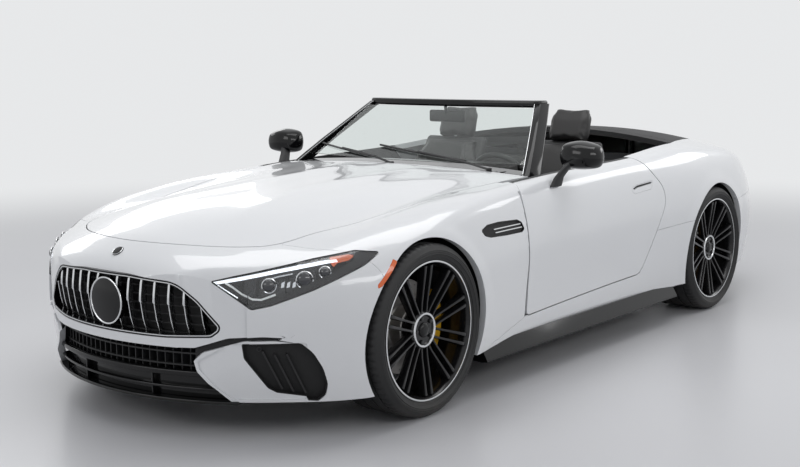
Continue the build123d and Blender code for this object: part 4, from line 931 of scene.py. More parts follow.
def lampPrism(outline, gap=0.0, low=1.4, high=2.3):
    return prism(grow(roundedOutline(outline, 10), gap), low, high, right=lampAcross, up=(0, 0, 1))


def lampTool(outline, low=1.4, high=2.3):
    return prism(outline, low, high, right=lampAcross, up=(0, 0, 1))


def archCutter(axle, radius, inner=0.6, outer=1.1):
    return xzPrism(circlePoints(radius, 96, (axle.x, axle.z)), -outer, -inner)


def carve(name, source, keep=(), cuts=()):  # the part of the source inside every keep and outside every cut
    piece = copyOf(source, name)
    for tool in keep:
        combine(piece, tool, "INTERSECT")
    for tool in cuts:
        combine(piece, tool)
    cleanMesh(piece)
    return piece


def bothSides(tool):
    return [tool, mirrorCopy(tool, "cutter")]


sideShape = {
    "vent": [(1.108, 0.712, 0.008), (1.055, 0.730, 0.03), (0.960, 0.733, 0.2), (0.802, 0.726, 0.02), (0.768, 0.712, 0.012),
             (0.750, 0.678, 0.010), (0.775, 0.667, 0.02), (0.900, 0.668, 0.3), (1.040, 0.674, 0.06), (1.085, 0.686, 0.03)],
    "ventFins": ((0.770, 0.995, 0.704), (0.763, 0.985, 0.689)), "ventFinHeight": 0.0045,
    "marker": [(1.708, 0.671, 0.003), (1.692, 0.661, 0.004), (1.785, 0.579, 0.004), (1.804, 0.571, 0.003),
               (1.803, 0.585, 0.003)],
    "handle": [(-0.276, 0.773, 0.006), (-0.327, 0.783, 0.05), (-0.491, 0.793, 0.005), (-0.484, 0.776, 0.01),
               (-0.462, 0.752, 0.012), (-0.297, 0.742, 0.012), (-0.270, 0.752, 0.008)],
    "grip": [(-0.284, 0.770, 0.003), (-0.327, 0.780, 0.05), (-0.484, 0.789, 0.003), (-0.478, 0.779, 0.004),
             (-0.330, 0.768, 0.03), (-0.288, 0.760, 0.004)],
    "grooveWidth": 0.0016, "trimDepth": 0.024,
}


def sideTool(key, gap=0.0):
    return sidePrism(grow(roundedOutline(sideShape[key], 8), gap), 0.6)


def cutSides(fender, door, bumper):
    recess(fender, sideTool("vent"), 0.013)
    recess(bumper, sideTool("marker", 0.0008), 0.007)
    recess(fender, sideTool("marker", 0.0008), 0.007)
    groove = combine(sideTool("handle", sideShape["grooveWidth"]), sideTool("handle"))
    recess(door, groove, 0.0035)
    recess(door, sideTool("grip"), 0.013)


def makePanels():
    shape, gap, doorGap = panelShape, panelShape["gap"], panelShape["doorGap"]
    bonnetCut, bonnetWide = planPrism(bonnetOutline()), planPrism(bonnetOutline(gap))
    doorCut, doorWide = sidePrism(doorOutline()), sidePrism(doorOutline(doorGap))
    seam = shape["bumperGap"]
    rocker, rockerWide = sidePrism(rockerOutline()), sidePrism(rockerOutline(seam))
    frontArch = archCutter(frontAxle, shape["archRadius"])
    rearArch = archCutter(rearAxle, shape["archRadius"])
    rearArches = bothSides(archCutter(rearAxle, shape["archRadius"]))
    lampCut, intakeCut = lampPrism(lampOutline, shape["lampGap"]), lampPrism(intakeOutline)
    noseHalf = planPrism(noseHalfOutline(), 0.1)
    noseWide = planPrism(grow(noseHalfOutline(), seam), 0.1)
    lidHalf, lidFront = shape["lidHalf"], shape["lidFront"]

    def lidCut(grown):
        return boxCutter((-2.6, -lidHalf - grown, shape["lidLow"] - grown), (lidFront + grown, lidHalf + grown, 1.4))

    bumperWide = sidePrism(grow(rearBumperOutline(), seam))
    bumperBoth = xzPrism(rearBumperOutline(), -1.4, 1.4)
    hingeX, hingeY = shape["hingeLine"]
    swing = [prism(circlePoints(radius + doorGap, 48, (hingeX, hingeY)), low, high)
             for low, high, radius in shape["swingSteps"]]

    carve("bonnetSkin", skin, [bonnetCut])
    carve("bootLidSkin", skin, [lidCut(0)])
    coverFront, half = shape["coverFront"], shape["seamHalf"]
    behind = boxCutter((-3, -1, 0), (coverFront, 1, 2))
    cover = carve("roofCoverSkin", skin, [planPrism(cockpitOutline(lidFront + gap)), behind])
    for y in shape["coverSeams"]:
        recess(cover, boxCutter((-3, y - half, 0.5), (0, y + half, 2)), 0.0035)
    across = coverFront - shape["coverHem"]
    recess(cover, boxCutter((across - shape["hemWidth"], -1, 0.5), (across, 1, 2)), 0.0035)
    carve("cowlSkin", skin, [boxCutter((0.40, -0.718, 0.7), (0.62, 0.718, 1.2))], [bonnetWide])
    edge = prism(circlePoints(shape["swingRadius"], 48, (hingeX, hingeY)), -1, 0.87)
    block = combine(boxCutter((hingeX, hingeY, -1), (2, 2, 0.87)), edge)
    trimSide = shape["doorInner"] + sideShape["trimDepth"]
    door = carve("doorSkinLeft", leftHull, [boxCutter((-3, trimSide + 0.0005, -1), (3, 3, 3)), doorCut], [block])
    carve("doorTrimLeft", leftHull, [boxCutter((-3, shape["doorInner"], -1), (3, trimSide, 3)), doorCut], [block])
    fender = carve(
        "fenderSkinLeft", leftSkin, [boxCutter((shape["doorFront"] - 0.16, -0.1, 0), (frontAxle.x + 0.5, 2, 3))],
        [bonnetWide, noseWide, doorWide, rockerWide, frontArch, lampCut, *swing,
         boxCutter((shape["doorFront"] - 0.4, -1, 0.2), (shape["doorFront"], shape["cockpitHalf"], 1.2)),
         boxCutter((frontAxle.x, -1, -1), (frontAxle.x + 1, 2, 0.3))])
    carve("quarterSkinLeft", leftSkin, [boxCutter((-3, -0.1, shape["sillStep"] - 0.1), (shape["doorRear"] + 0.06, 2, 3))],
          [doorWide, rockerWide, planPrism(cockpitOutline(lidFront - 0.03)), lidCut(gap), bumperWide, rearArch])
    lampSlot = tailLampCutter()
    tail = carve("rearBumperSkin", skin, [bumperBoth],
                 [*rearArches, *bothSides(lampSlot), boxCutter((tailX - 0.1, -0.48, -1), (tailX + 0.04, 0.48, 0.30))])
    recess(tail, frontPrism(roundedOutline(shape["plateRecess"], 6), -3.0, -2.0), 0.013)
    scoop = combine(lampPrism(scoopOutline), inside[0.007])
    openings = [frontPrism(roundedOutline(grilleOutline, 10)), frontPrism(roundedOutline(mouthOutline, 6))]
    bumperHalf = carve("frontBumperSkinLeft", leftSkin, [noseHalf],
                       [bonnetWide, *openings, frontArch, lampCut, intakeCut, lampPrism(slotOutline), scoop])
    cutSides(fender, door, bumperHalf)
    carve("sillSkinLeft", leftHull, [boxCutter((-3, 0.770, -1), (3, 3, 3)), rocker],
          [doorWide, rearArch, archCutter(rearAxle, 0.4063, 0.6, 0.905)])


def tailLampCutter():
    corners = ((0.25, 0.640), (0.25, 0.648), (0.12, 0.722), (-0.03, 0.722), (-0.03, 0.650))
    tool = sidePrism([(tailX + x, z) for x, z in corners])
    return combine(tool, boxCutter((-4, -1, 0), (0, 0.25, 2)))


makePanels()
print("panels cut")


def placePanels():
    made = bpy.data.objects
    bumper = join("frontBumperSkin", [made["frontBumperSkinLeft"], mirrorCopy(made["frontBumperSkinLeft"], "other")])
    cleanMesh(bumper)
    whole = [("bonnetSkin", "bonnet", "body_paint", paint, "bonnet"),
             ("bootLidSkin", "boot_lid", "body_paint", paint, "boot_lid"),
             ("rearBumperSkin", rootBody, "body_paint", paint, "rear_bumper"),
             ("frontBumperSkin", rootBody, "body_paint", paint, "front_bumper"),
             ("roofCoverSkin", rootBody, "roof_black", coverBlack, "roof_cover"),
             ("cowlSkin", rootBody, "gloss_black", glossBlack, "cowl_panel")]
    for name, body, slotName, material, node in whole:
        finish(made[name], body, material, [node])
    for name, body, node in (("sillSkinLeft", rootBody, "sills"), ("fenderSkinLeft", rootBody, "fender_*"),
                             ("quarterSkinLeft", rootBody, "quarter_*"), ("doorSkinLeft", "*_door", "door_*")):
        placePair(made[name], body, paint, [node])
    placePair(made["doorTrimLeft"], "*_door", trimBlack, ["door_*"])


placePanels()

# ---- headlamps

lampShape = {
    "clear": [(-1.394, 0.6085, 0.002), (-1.262, 0.534, 0.02), (-1.190, 0.546, 0.05), (-0.950, 0.640, 0.2),
              (-0.862, 0.680, 0.01), (-0.880, 0.697, 0.02), (-1.020, 0.680, 0.2), (-1.320, 0.627, 0.1)],
    "lightBar": [(-1.397, 0.611), (-1.320, 0.624), (-1.175, 0.649), (-1.077, 0.664), (-0.978, 0.677), (-0.936, 0.680),
                 (-0.933, 0.673), (-0.980, 0.668), (-1.078, 0.653), (-1.176, 0.638), (-1.320, 0.613), (-1.386, 0.603)],
    "hook": [(-1.352, 0.607), (-1.326, 0.592), (-1.294, 0.567), (-1.256, 0.548), (-1.225, 0.546), (-1.171, 0.565)],
    "hookWidth": 0.007,
    "slash": [(-1.380, 0.600), (-1.309, 0.553)], "slashWidth": 0.004,
    "amber": [(-0.960, 0.686, 0.003), (-0.890, 0.695, 0.003), (-0.862, 0.692, 0.003), (-0.890, 0.676, 0.003),
              (-0.935, 0.668, 0.003), (-0.950, 0.656, 0.003), (-0.958, 0.664, 0.003)],
    "brow": [(-1.200, 0.618), (-1.160, 0.628), (-1.105, 0.637)], "browWidth": 0.004,
    "facets": (-1.152, -1.131, -1.110), "facetSize": (0.012, 0.588, 0.612), "lensDepth": 0.018,
    "projectors": [(-1.195, 0.598, 0.023), (-1.063, 0.616, 0.027), (-0.985, 0.640, 0.019)],  # across, up, radius
    "fins": 7,
}
lampTurn = lampOut.to_track_quat("Z", "Y").to_euler()


def lampPoint(across, up, depth):  # the point of an inner surface behind a place on the lamp's outline
    return inside[depth].ray_cast(lampAcross * across + Vector((0, 0, up)) + lampOut * 2.4, -lampOut)[1]


def makeProjector(index, across, up, radius):
    place = lampPoint(across, up, 0.007)
    bezel = ring(f"headlampBezel{index}Left", radius * 1.18, 0.0022, place + lampOut * 0.004, lampTurn)
    bpy.ops.mesh.primitive_uv_sphere_add(segments=40, ring_count=20, radius=radius, location=place, rotation=lampTurn)
    bpy.context.object.scale.z = lampShape["lensDepth"] / radius
    return bezel, named(settle(bpy.context.object), f"headlampLens{index}Left")


def makeHeadlamps():
    shape = lampShape
    bowl = inlay("headlampBowlLeft", lampPrism(lampOutline, -0.0006), 0.0035, 0.028)
    combine(bowl, combine(lampPrism(lampOutline, -0.0040), inside[0.024]))
    cleanMesh(bowl)
    trim = combine(lampPrism(lampOutline, -0.0045), lampPrism(shape["clear"]))
    wide, low, high = shape["facetSize"]
    facets = [[(a, low), (a + wide, low + 0.003), (a + wide + 0.004, high), (a + 0.004, high - 0.006)]
              for a in shape["facets"]]
    bright = [inlay("facet", lampTool(outline), 0.007, 0.013)
              for outline in (stripOutline(shape["brow"], shape["browWidth"]), *facets)]
    # the lamp's inner floor: black plastic with painted shade in its colour
    floor = inlay("headlampFloorLeft", lampPrism(shape["clear"], -0.001), 0.013, 0.024)
    for i in range(shape["fins"]):
        across = -1.30 + 0.055 * i
        combine(floor, lampTool([(across, 0.5), (across + 0.045, 0.5), (across + 0.075, 0.72), (across + 0.030, 0.72)]))
    hook, slash = (lampTool(stripOutline(shape[key], shape[key + "Width"])) for key in ("hook", "slash"))
    lens = inlay("headlampLensLeft", lampPrism(lampOutline, -0.0008), 0.0, 0.0035)
    pieces = [
        (bowl, "lamp_housing", screenBlack, ["headlamps"]),
        (lens, "lamp_glass", lampGlass, ["headlamp_lenses"]),
        (inlay("headlampTrimLeft", trim, 0.007, 0.024), "lamp_housing", glossBlack, []),
        (inlay("headlampLightBarLeft", lampTool(shape["lightBar"]), 0.0035, 0.013), "lamp_glass", glow, []),
        (inlay("headlampHookLeft", hook, 0.007, 0.013), "lamp_glass", warmGlow, []),
        (inlay("headlampSlashLeft", slash, 0.0035, 0.007), "lamp_glass", glow, []),
        (join("headlampFacetsLeft", bright), "lamp_housing", brightMetal, []),
        (inlay("headlampAmberLeft", lampPrism(shape["amber"]), 0.007, 0.013), "lamp_glass", amber, []),
        (floor, "lamp_housing", deepBlack, []),
    ]
    for index, projector in enumerate(shape["projectors"]):
        bezel, ball = makeProjector(index, *projector)
        pieces += [(bezel, "lamp_housing", brightMetal, []), (ball, "lamp_glass", projectorGlass, [])]
    for left, slotName, material, nodes in pieces:
        placePair(left, rootBody, material, nodes)


makeHeadlamps()
print("headlamps ready")

# ---- grille, mouth and side intakes


def noseAt(y, back=0.0):  # x of the rounded nose at a distance from the middle
    return noseX - back - bodyShape["noseRadius"] + math.sqrt(bodyShape["noseRadius"] ** 2 - y * y)


def noseBand(half, back, depth, low, high):  # a bar that follows the nose
    across = [half * (i / 16 - 1) for i in range(33)]
    front = [(noseAt(y, back), y) for y in across]
    rear = [(noseAt(y, back + depth), y) for y in across]
    return prism(front + rear[::-1], low, high)


grilleShape = {
    "rim": 0.012, "edge": 0.0035, "slatPairs": 7, "slatFirst": 0.058, "slatPitch": 0.0625, "slatWidth": 0.0105,
    # back from the nose, up: front edges of a slat's wide upper and slim lower part
    "slatUpper": [(0.026, 0.630), (0.014, 0.590), (0.008, 0.548), (0.006, 0.522), (0.009, 0.512)],
    "slatLower": [(0.009, 0.524), (0.012, 0.500), (0.020, 0.450), (0.034, 0.400), (0.042, 0.380)],
    "slatDepth": 0.028, "lowerWidth": 0.0045, "barPitch": 0.034, "discAt": 0.503, "discRadius": 0.095,
}


def makeGrille():
    shape = grilleShape
    outline = roundedOutline(grilleOutline, 10)
    frame = combine(frontPrism(grow(outline, -0.0006)), frontPrism(grow(outline, -shape["rim"])))
    combine(frame, noseBand(0.56, 0.003, 0.080, 0.34, 0.68), "INTERSECT")
    finish(named(frame, "grilleFrame"), rootBody, glossBlack, ["radiator_grille"])
    rim = shape["rim"] * 0.55
    edge = combine(frontPrism(grow(outline, -rim)), frontPrism(grow(outline, -rim - shape["edge"])))
    combine(edge, noseBand(0.56, 0.0005, 0.012, 0.34, 0.68), "INTERSECT")
    finish(named(edge, "grilleBrightEdge"), rootBody, brightMetal)
    slats = []
    for index in range(shape["slatPairs"]):
        y = shape["slatFirst"] + index * shape["slatPitch"]
        for key, width in (("slatUpper", shape["slatWidth"]), ("slatLower", shape["lowerWidth"])):
            front = [(-back, up) for back, up in shape[key]]
            rear = [(x - shape["slatDepth"], up) for x, up in reversed(front)]
            slat = xzPrism(front + rear, -width / 2, width / 2, (noseAt(y), y, 0))
            bevelEdges(slat, width * 0.3, 3)
            slats.append(combine(slat, frontPrism(grow(outline, -shape["rim"] - 0.002)), "INTERSECT"))
    left = join("slatsLeft", slats)
    slats = join("grilleSlats", [left, mirrorCopy(left, "other")])
    finish(slats, rootBody, brightMetal, ["radiator_grille"])
    heights = [0.40 + shape["barPitch"] * i for i in range(7)]
    bars = [noseBand(0.54, 0.052, 0.010, up, up + 0.004) for up in heights]
    for index in range(-8, 9):
        y = (index + 0.5) * shape["slatPitch"]
        if abs(y) < 0.5:
            bars.append(boxCutter((noseAt(y, 0.068), y - 0.002, 0.36), (noseAt(y, 0.058), y + 0.002, 0.66)))
    tool = frontPrism(grow(outline, -shape["rim"]))
    mesh = join("grilleMesh", [combine(bar, tool, "INTERSECT") for bar in bars])
    finish(mesh, rootBody, satinBlack)
    # a dark sheet behind the grille's mesh: the radiator, with painted shade of the space behind the grille
    back = combine(noseBand(0.54, 0.085, 0.006, 0.36, 0.66), tool, "INTERSECT")
    finish(named(back, "grilleRadiator"), rootBody, deepBlack)
    radius, up, turn = shape["discRadius"], shape["discAt"], (0, math.pi / 2, 0)
    disc = roundPlate("grilleDisc", radius - 0.006, 0.030, (noseX - 0.022, 0, up), turn, 96, (0.004, 3))
    finish(disc, rootBody, glossBlack)
    edge = ring("grilleDiscRing", radius - 0.004, 0.0042, (noseX - 0.009, 0, up), turn, 96, 12)
    finish(edge, rootBody, brightMetal)


makeGrille()

mouthShape = {"ribPitch": 0.036, "ribs": 13, "bars": (0.275, 0.322), "shadeSheetBack": 0.13}


def makeMouth():
    outline = roundedOutline(mouthOutline, 6)
    tool = frontPrism(grow(outline, -0.001))
    parts = [noseBand(0.52, 0.045, 0.018, z, z + 0.006) for z in mouthShape["bars"]]
    for index in range(-mouthShape["ribs"], mouthShape["ribs"] + 1):
        y = index * mouthShape["ribPitch"]
        parts.append(boxCutter((noseAt(y, 0.085), y - 0.0022, 0.255), (noseAt(y, 0.050), y + 0.0022, 0.37)))
    grid = join("mouthGrid", [combine(part, tool, "INTERSECT") for part in parts])
    finish(grid, rootBody, satinBlack, ["lower_intake"])
    # a dark sheet across the back of the mouth: painted shade of the space behind the grid
    back = combine(noseBand(0.55, mouthShape["shadeSheetBack"], 0.006, 0.15, 0.37), hull, "INTERSECT")
    finish(named(back, "mouthBacking"), rootBody, deepBlack)


makeMouth()

intakeShape = {
    "fins": [((-1.225, 0.350), (-1.150, 0.196)), ((-1.180, 0.336), (-1.108, 0.184)), ((-1.135, 0.338), (-1.062, 0.178))],
    "finWidth": 0.007, "sensor": (-1.236, 0.358, 0.008),
}


def makeIntakes():
    shape = intakeShape
    # the intake's inner box: black plastic with painted shade in its colour
    box = inlay("intakeBoxLeft", lampPrism(intakeOutline, -0.0006), 0.007, 0.030)
    combine(box, combine(lampPrism(intakeOutline, -0.0040), inside[0.028]))
    cleanMesh(box)
    placePair(box, rootBody, deepBlack, ["side_intakes"])
    fins = []
    for line in shape["fins"]:
        tool = combine(lampTool(stripOutline(line, shape["finWidth"])), lampPrism(intakeOutline, -0.004), "INTERSECT")
        fins.append(inlay("fin", tool, 0.013, 0.028))
    placePair(join("intakeFinsLeft", fins), rootBody, satinBlack)
    # the slot's lining: black plastic with painted shade in its colour
    slotTool = combine(lampPrism(slotOutline, -0.0005), boxCutter((1, -1, 0), (3, 0.408, 1)))
    placePair(inlay("slotLiningLeft", slotTool, 0.013, 0.028), rootBody, deepBlack)
    across, up, radius = shape["sensor"]
    sensor = ring("parkSensorLeft", radius, 0.0015, lampPoint(across, up, 0.013), lampTurn, 24)
    placePair(sensor, rootBody, satinBlack)


makeIntakes()

splitterShape = {  # half width, back from the nose, depth, low, high
    "blade": (0.545, 0.022, 0.19, 0.138, 0.150), "riser": (0.500, 0.062, 0.018, 0.150, 0.246),
    "topBar": (0.470, 0.016, 0.066, 0.242, 0.262), "midBar": (0.500, 0.030, 0.046, 0.186, 0.197),
    "postAt": 0.20, "bevel": 0.004,
}


def makeSplitter():
    shape = splitterShape
    parts = [bevelEdges(noseBand(*shape[key]), shape["bevel"], 3) for key in ("blade", "riser", "topBar", "midBar")]
    at = shape["postAt"]
    for y in (at, -at):
        post = boxCutter((noseAt(at, 0.080), y - 0.004, 0.149), (noseAt(at, 0.036), y + 0.004, 0.247))
        parts.append(bevelEdges(post, 0.002, 2))
    finish(join("frontSplitterLip", parts), rootBody, glossBlack, ["front_splitter"])


makeSplitter()
print("nose ready")

# ---- side details


def makeSideInserts():
    frameTool = combine(sideTool("vent", -0.0005), sideTool("vent", -0.0045))
    placePair(inlay("ventFrameLeft", frameTool, 0.0, 0.013), rootBody, glossBlack, ["fender_vents"])
    # the vent's tray behind the fins: black plastic with painted shade in its colour
    placePair(inlay("ventTrayLeft", sideTool("vent", -0.0006), 0.007, 0.013), rootBody, deepBlack)
    fins, half = [], sideShape["ventFinHeight"] / 2
    for front, rear, up in sideShape["ventFins"]:
        corners = ((front, up - half), (rear, up - half), (rear + 0.008, up + half), (front - 0.004, up + half))
        fins.append(inlay("fin", sidePrism(corners, 0.6), 0.0035, 0.007))
    placePair(join("ventFinsLeft", fins), rootBody, brightMetal)
    placePair(inlay("sideMarkerLeft", sideTool("marker"), 0.0, 0.007), rootBody, amber)
    grip = inlay("handleGripLeft", sideTool("grip", -0.0004), 0.007, 0.013)
    placePair(grip, "*_door", glossBlack)


makeSideInserts()

tailShape = {"badge": (2.277, 0.693, 0.024), "lightLine": [(0.2, 0.672), (0.9, 0.672), (0.9, 0.681), (0.2, 0.681)],
             "segments": 8, "segmentStart": 0.275, "segmentStep": 0.055}


def makeTailLamps():
    shape = tailShape
    slot = tailLampCutter()
    lens = inlay("tailLensLeft", slot, 0.0, 0.007)
    for i in range(shape["segments"]):
        y = shape["segmentStart"] + i * shape["segmentStep"]
        slit = [(y, 0.60), (y + 0.0022, 0.60), (y + 0.0322, 0.76), (y + 0.030, 0.76)]
        recess(lens, frontPrism(slit, -3.0, -2.0), 0.0035)

    def lightTool():
        return combine(tailLampCutter(), frontPrism(shape["lightLine"], -3.0, -2.0), "INTERSECT")

    light = inlay("tailLightLeft", lightTool(), 0.0, 0.0035)
    recess(lens, lightTool(), 0.0035)
    placePair(light, rootBody, tailGlow)
    placePair(lens, rootBody, tailRed, ["tail_lamps"])
    placePair(inlay("tailHousingLeft", slot, 0.007, 0.024), rootBody, screenBlack)


makeTailLamps()

rearShape = {
    "tipSize": (0.108, 0.058, 0.025), "tipY": (0.290, 0.410), "tipZ": 0.252, "tipFront": 0.156, "tipWall": 0.005,
    "panel": [(0.010, 0.297, 0), (0.010, 0.225, 0.01), (0.330, 0.160, 0.02), (0.420, 0.160, 0), (0.420, 0.174, 0),
              (0.335, 0.174, 0.02), (0.030, 0.238, 0.01), (0.030, 0.297, 0)],
    "plate": [(0.010, 0.212, 0.004), (0.010, 0.199, 0.004), (0.330, 0.160, 0), (0.330, 0.172, 0)],
    "fin": [(0.013, 0.250, 0.008), (0.026, 0.170, 0.02), (0.300, 0.142, 0.01), (0.330, 0.162, 0)],
    "finY": (-0.18, -0.09, 0.0, 0.09, 0.18), "panelHalf": 0.225, "plateHalf": 0.478,
}


def makeTail():
    shape = rearShape
    (wide, high, corner), up = shape["tipSize"], shape["tipZ"]
    tips, shadePlugs = [], []
    for y in shape["tipY"]:
        corners = [(y + a * wide / 2, up + b * high / 2, corner) for a, b in ((-1, -1), (1, -1), (1, 1), (-1, 1))]
        outline = roundedOutline(corners, 8)
        tube = frontPrism(outline, tailX + 0.006, tailX + shape["tipFront"])
        combine(tube, frontPrism(grow(outline, -shape["tipWall"]), tailX - 0.1, tailX + 1))
        tips.append(bevelEdges(tube, 0.0018, 3, 50))
        # dark plugs deep in the tips: painted shade of the pipes' insides
        shadePlugs.append(frontPrism(grow(outline, -shape["tipWall"] + 0.0005), tailX + 0.110, tailX + 0.150))
    middle = sum(shape["tipY"]) / 2
    silencer = boxCutter((tailX + 0.156, middle - 0.113, 0.222), (tailX + 0.386, middle + 0.113, 0.398))
    placePair(join("exhaustTipsLeft", tips), rootBody, brightMetal, ["exhaust_tips"])
    placePair(join("exhaustCoresLeft", shadePlugs), rootBody, deepBlack)
    silencer = named(bevelEdges(silencer, 0.02, 4, 40), "silencerLeft")
    placePair(silencer, rootBody, castMetal, ["exhaust_tips"])
    spans = [("panel", 0, shape["panelHalf"]), ("plate", 0, shape["plateHalf"])]
    spans += [("fin", y, 0.005) for y in shape["finY"]]
    parts = []
    for key, y, half in spans:
        profile = [(tailX + p.x, p.y) for p in roundedOutline(shape[key], 5)]
        parts.append(bevelEdges(xzPrism(profile, y - half, y + half), 0.0025, 2, 50))
    finish(join("rearDiffuser", parts), rootBody, satinBlack, ["rear_diffuser"])


makeTail()


def makeNoseDisc():
    x, z, radius = tailShape["badge"]
    place, normal = inside[0.0].ray_cast(Vector((x, 0.0001, z + 0.3)), Vector((0, 0, -1)))[1:3]
    turn = normal.to_track_quat("Z", "Y").to_euler()
    disc = roundPlate("noseDisc", radius, 0.005, place + normal * 0.001, turn, 48, (0.0018, 3, 30))
    finish(disc, rootBody, glossBlack)
    edge = ring("noseDiscRing", radius - 0.002, 0.0012, place + normal * 0.0035, turn, 48)
    finish(edge, rootBody, brightMetal)


makeNoseDisc()
print("side and tail details ready")

# ---- wheels, tyres and brakes

wheelShape = {
    "front": {"axle": frontAxle, "radius": 0.352, "width": 0.275, "middle": 0.8105, "hub": 0.850, "disc": 0.775},
    "rear": {"axle": rearAxle, "radius": 0.350, "width": 0.305, "middle": 0.7975, "hub": 0.845, "disc": 0.770},
    "rotor": 0.195,
}
tyreShape = {
    "grooves": (0.30, 0.78), "grooveWidth": 0.008, "grooveDepth": 0.007, "steps": 288, "siping": 4, "sipeDepth": 0.004,
}
rimShape = {
    "lip": 0.283, "pairs": 10, "hubSpread": 0.0165, "rimSpread": 0.0195, "hubReach": 0.060, "rimReach": 0.264,
    "hubFace": -0.032, "midFace": -0.020, "rimFace": -0.007, "hubRadius": 0.078, "boltCircle": 0.050,
}


def makeTyre(key):
    shape, tread = wheelShape[key], tyreShape
    radius, half = shape["radius"], shape["width"] / 2
    flat = half - 0.034
    side = [(0.2835, 0.026), (0.2850, 0.017), (0.2905, 0.013), (0.2935, 0.0125), (0.2945, 0.0095), (0.2980, 0.0085),
            (0.3080, 0.0035), (0.3090, 0.0015), (0.3110, 0.0015), (0.3125, 0.0030), (0.3180, 0.0022),
            (radius - 0.0300, 0.0040), (radius - 0.0290, 0.0025), (radius - 0.0265, 0.0030), (radius - 0.0245, 0.0055),
            (radius - 0.0160, 0.0100), (radius - 0.0080, 0.0170), (radius - 0.0030, 0.0250), (radius - 0.0006, 0.034)]
    side = [(r, half - inset) for r, inset in side]
    across = []
    wide, foot = tread["grooveWidth"] / 2, radius - tread["grooveDepth"]
    near, far = tread["grooves"]
    for y in (far * flat, near * flat, -near * flat, -far * flat):
        across += [(radius, y + wide), (foot, y + wide * 0.7), (foot, y - wide * 0.7), (radius, y - wide)]
    other = [(r, -y) for r, y in reversed(side)]
    inner = [(0.2835, -half + 0.034), (0.296, -half + 0.030), (radius - 0.022, -half + 0.022), (radius - 0.013, -flat),
             (radius - 0.013, flat), (radius - 0.022, half - 0.022), (0.296, half - 0.030), (0.2835, half - 0.034)]
    tyre = lathe(f"{key}TyreLeft", side + across + other + inner, tread["steps"])
    steps, edge = tread["steps"], flat + 0.014
    for vertex in tyre.data.vertices:
        x, y, z = vertex.co
        away = math.hypot(x, z)
        turn = round(math.atan2(z, x) / (2 * math.pi) * steps) % tread["siping"]
        if turn == 0 and away > radius - 0.012 and flat * 0.80 < abs(y) < edge:
            scale = (away - tread["sipeDepth"]) / away
            vertex.co = (x * scale, y, z * scale)
    return placeAt(tyre, shape["axle"].x, shape["middle"], shape["axle"].z)


def spokeBlank(faceY):
    shape = rimShape
    rows = [  # reach, half width, front of the spoke, its depth
        (shape["hubReach"], 0.0042, shape["hubFace"], 0.030), (0.11, 0.0044, -0.0285, 0.030),
        (0.17, 0.0050, shape["midFace"], 0.032), (0.225, 0.0060, -0.012, 0.034),
        (shape["rimReach"], 0.0078, shape["rimFace"], 0.040),
    ]
    rings = [[(reach, front, -half), (reach, front, half), (reach, front - depth, half * 1.5),
              (reach, front - depth, -half * 1.5)] for reach, half, front, depth in rows]
    return placeAt(bevelEdges(ringLoft("spoke", rings), 0.0022, 2, 50), 0, faceY, 0)


def makeRim(key):
    wheel, shape = wheelShape[key], rimShape
    faceY = wheel["middle"] + wheel["width"] / 2 - 0.014
    backY = wheel["middle"] - wheel["width"] / 2 + 0.007
    lip = shape["lip"]
    barrel = [
        (lip - 0.0056, faceY - 0.001), (lip, faceY - 0.002), (lip, faceY - 0.008), (0.2765, faceY - 0.011),
        (0.2715, faceY - 0.020), (0.2700, faceY - 0.045), (0.2700, backY + 0.018), (0.2765, backY + 0.010),
        (lip, backY + 0.007), (lip, backY), (0.2775, backY), (0.2660, backY + 0.020), (0.2640, faceY - 0.050),
        (0.2665, faceY - 0.020), (0.2730, faceY - 0.006),
    ]
    parts = [lathe("barrel", barrel, 160)]
    tilt = math.atan2(shape["rimSpread"] - shape["hubSpread"], shape["rimReach"] - shape["hubReach"])
    shift = shape["hubSpread"] - math.tan(tilt) * shape["hubReach"]
    blank = spokeBlank(faceY)
    for index in range(shape["pairs"]):
        for side in (1, -1):
            spoke = copyOf(blank, "spoke")
            spoke.data.transform(Matrix.Rotation(-side * tilt, 4, "Y"))
            spoke.data.transform(Matrix.Translation((0, 0, side * shift)))
            spoke.data.transform(Matrix.Rotation(-2 * math.pi * (index + 0.5) / shape["pairs"], 4, "Y"))
            parts.append(spoke)
    remove(blank)
    hubY = faceY + shape["hubFace"]
    outer, hubBack = shape["hubRadius"], wheel["hub"] + 0.001
    parts.append(lathe("hub", [(0.020, hubY - 0.012), (0.020, hubY - 0.004), (0.056, hubY - 0.004), (0.060, hubY + 0.001),
                               (0.072, hubY + 0.001), (outer, hubY - 0.006), (outer, hubBack), (0.020, hubBack)], 96))
    for index in range(5):
        x, z = polar(shape["boltCircle"], 2 * math.pi * index / 5)
        parts.append(roundPlate("bolt", 0.0095, 0.012, (x, hubY - 0.003, z), (math.pi / 2, 0, 0), 6, (0.0015, 2, 30)))
    rim = join(f"{key}RimLeft", parts)
    cleanMesh(rim, 1e-6)
    turned = {
        "RimLip": (160, faceY, [(0.2768, 0.0001), (0.2790, 0.0009), (0.2832, 0), (0.2834, -0.003), (0.2768, -0.003)]),
        "HubRing": (96, hubY, [(0.0610, 0.001), (0.0625, 0.004), (0.0700, 0.004), (0.0715, 0.001)]),
        "HubCap": (64, hubY, [(0.0001, 0.008), (0.014, 0.0078), (0.024, 0.006), (0.029, 0.002), (0.031, -0.004),
                              (0.0315, -0.011), (0.0001, -0.011)]),
    }
    pieces = [rim] + [lathe(f"{key}{label}Left", [(r, base + y) for r, y in profile], steps)
                      for label, (steps, base, profile) in turned.items()]
    axle = wheel["axle"]
    return [placeAt(piece, axle.x, 0, axle.z) for piece in pieces]


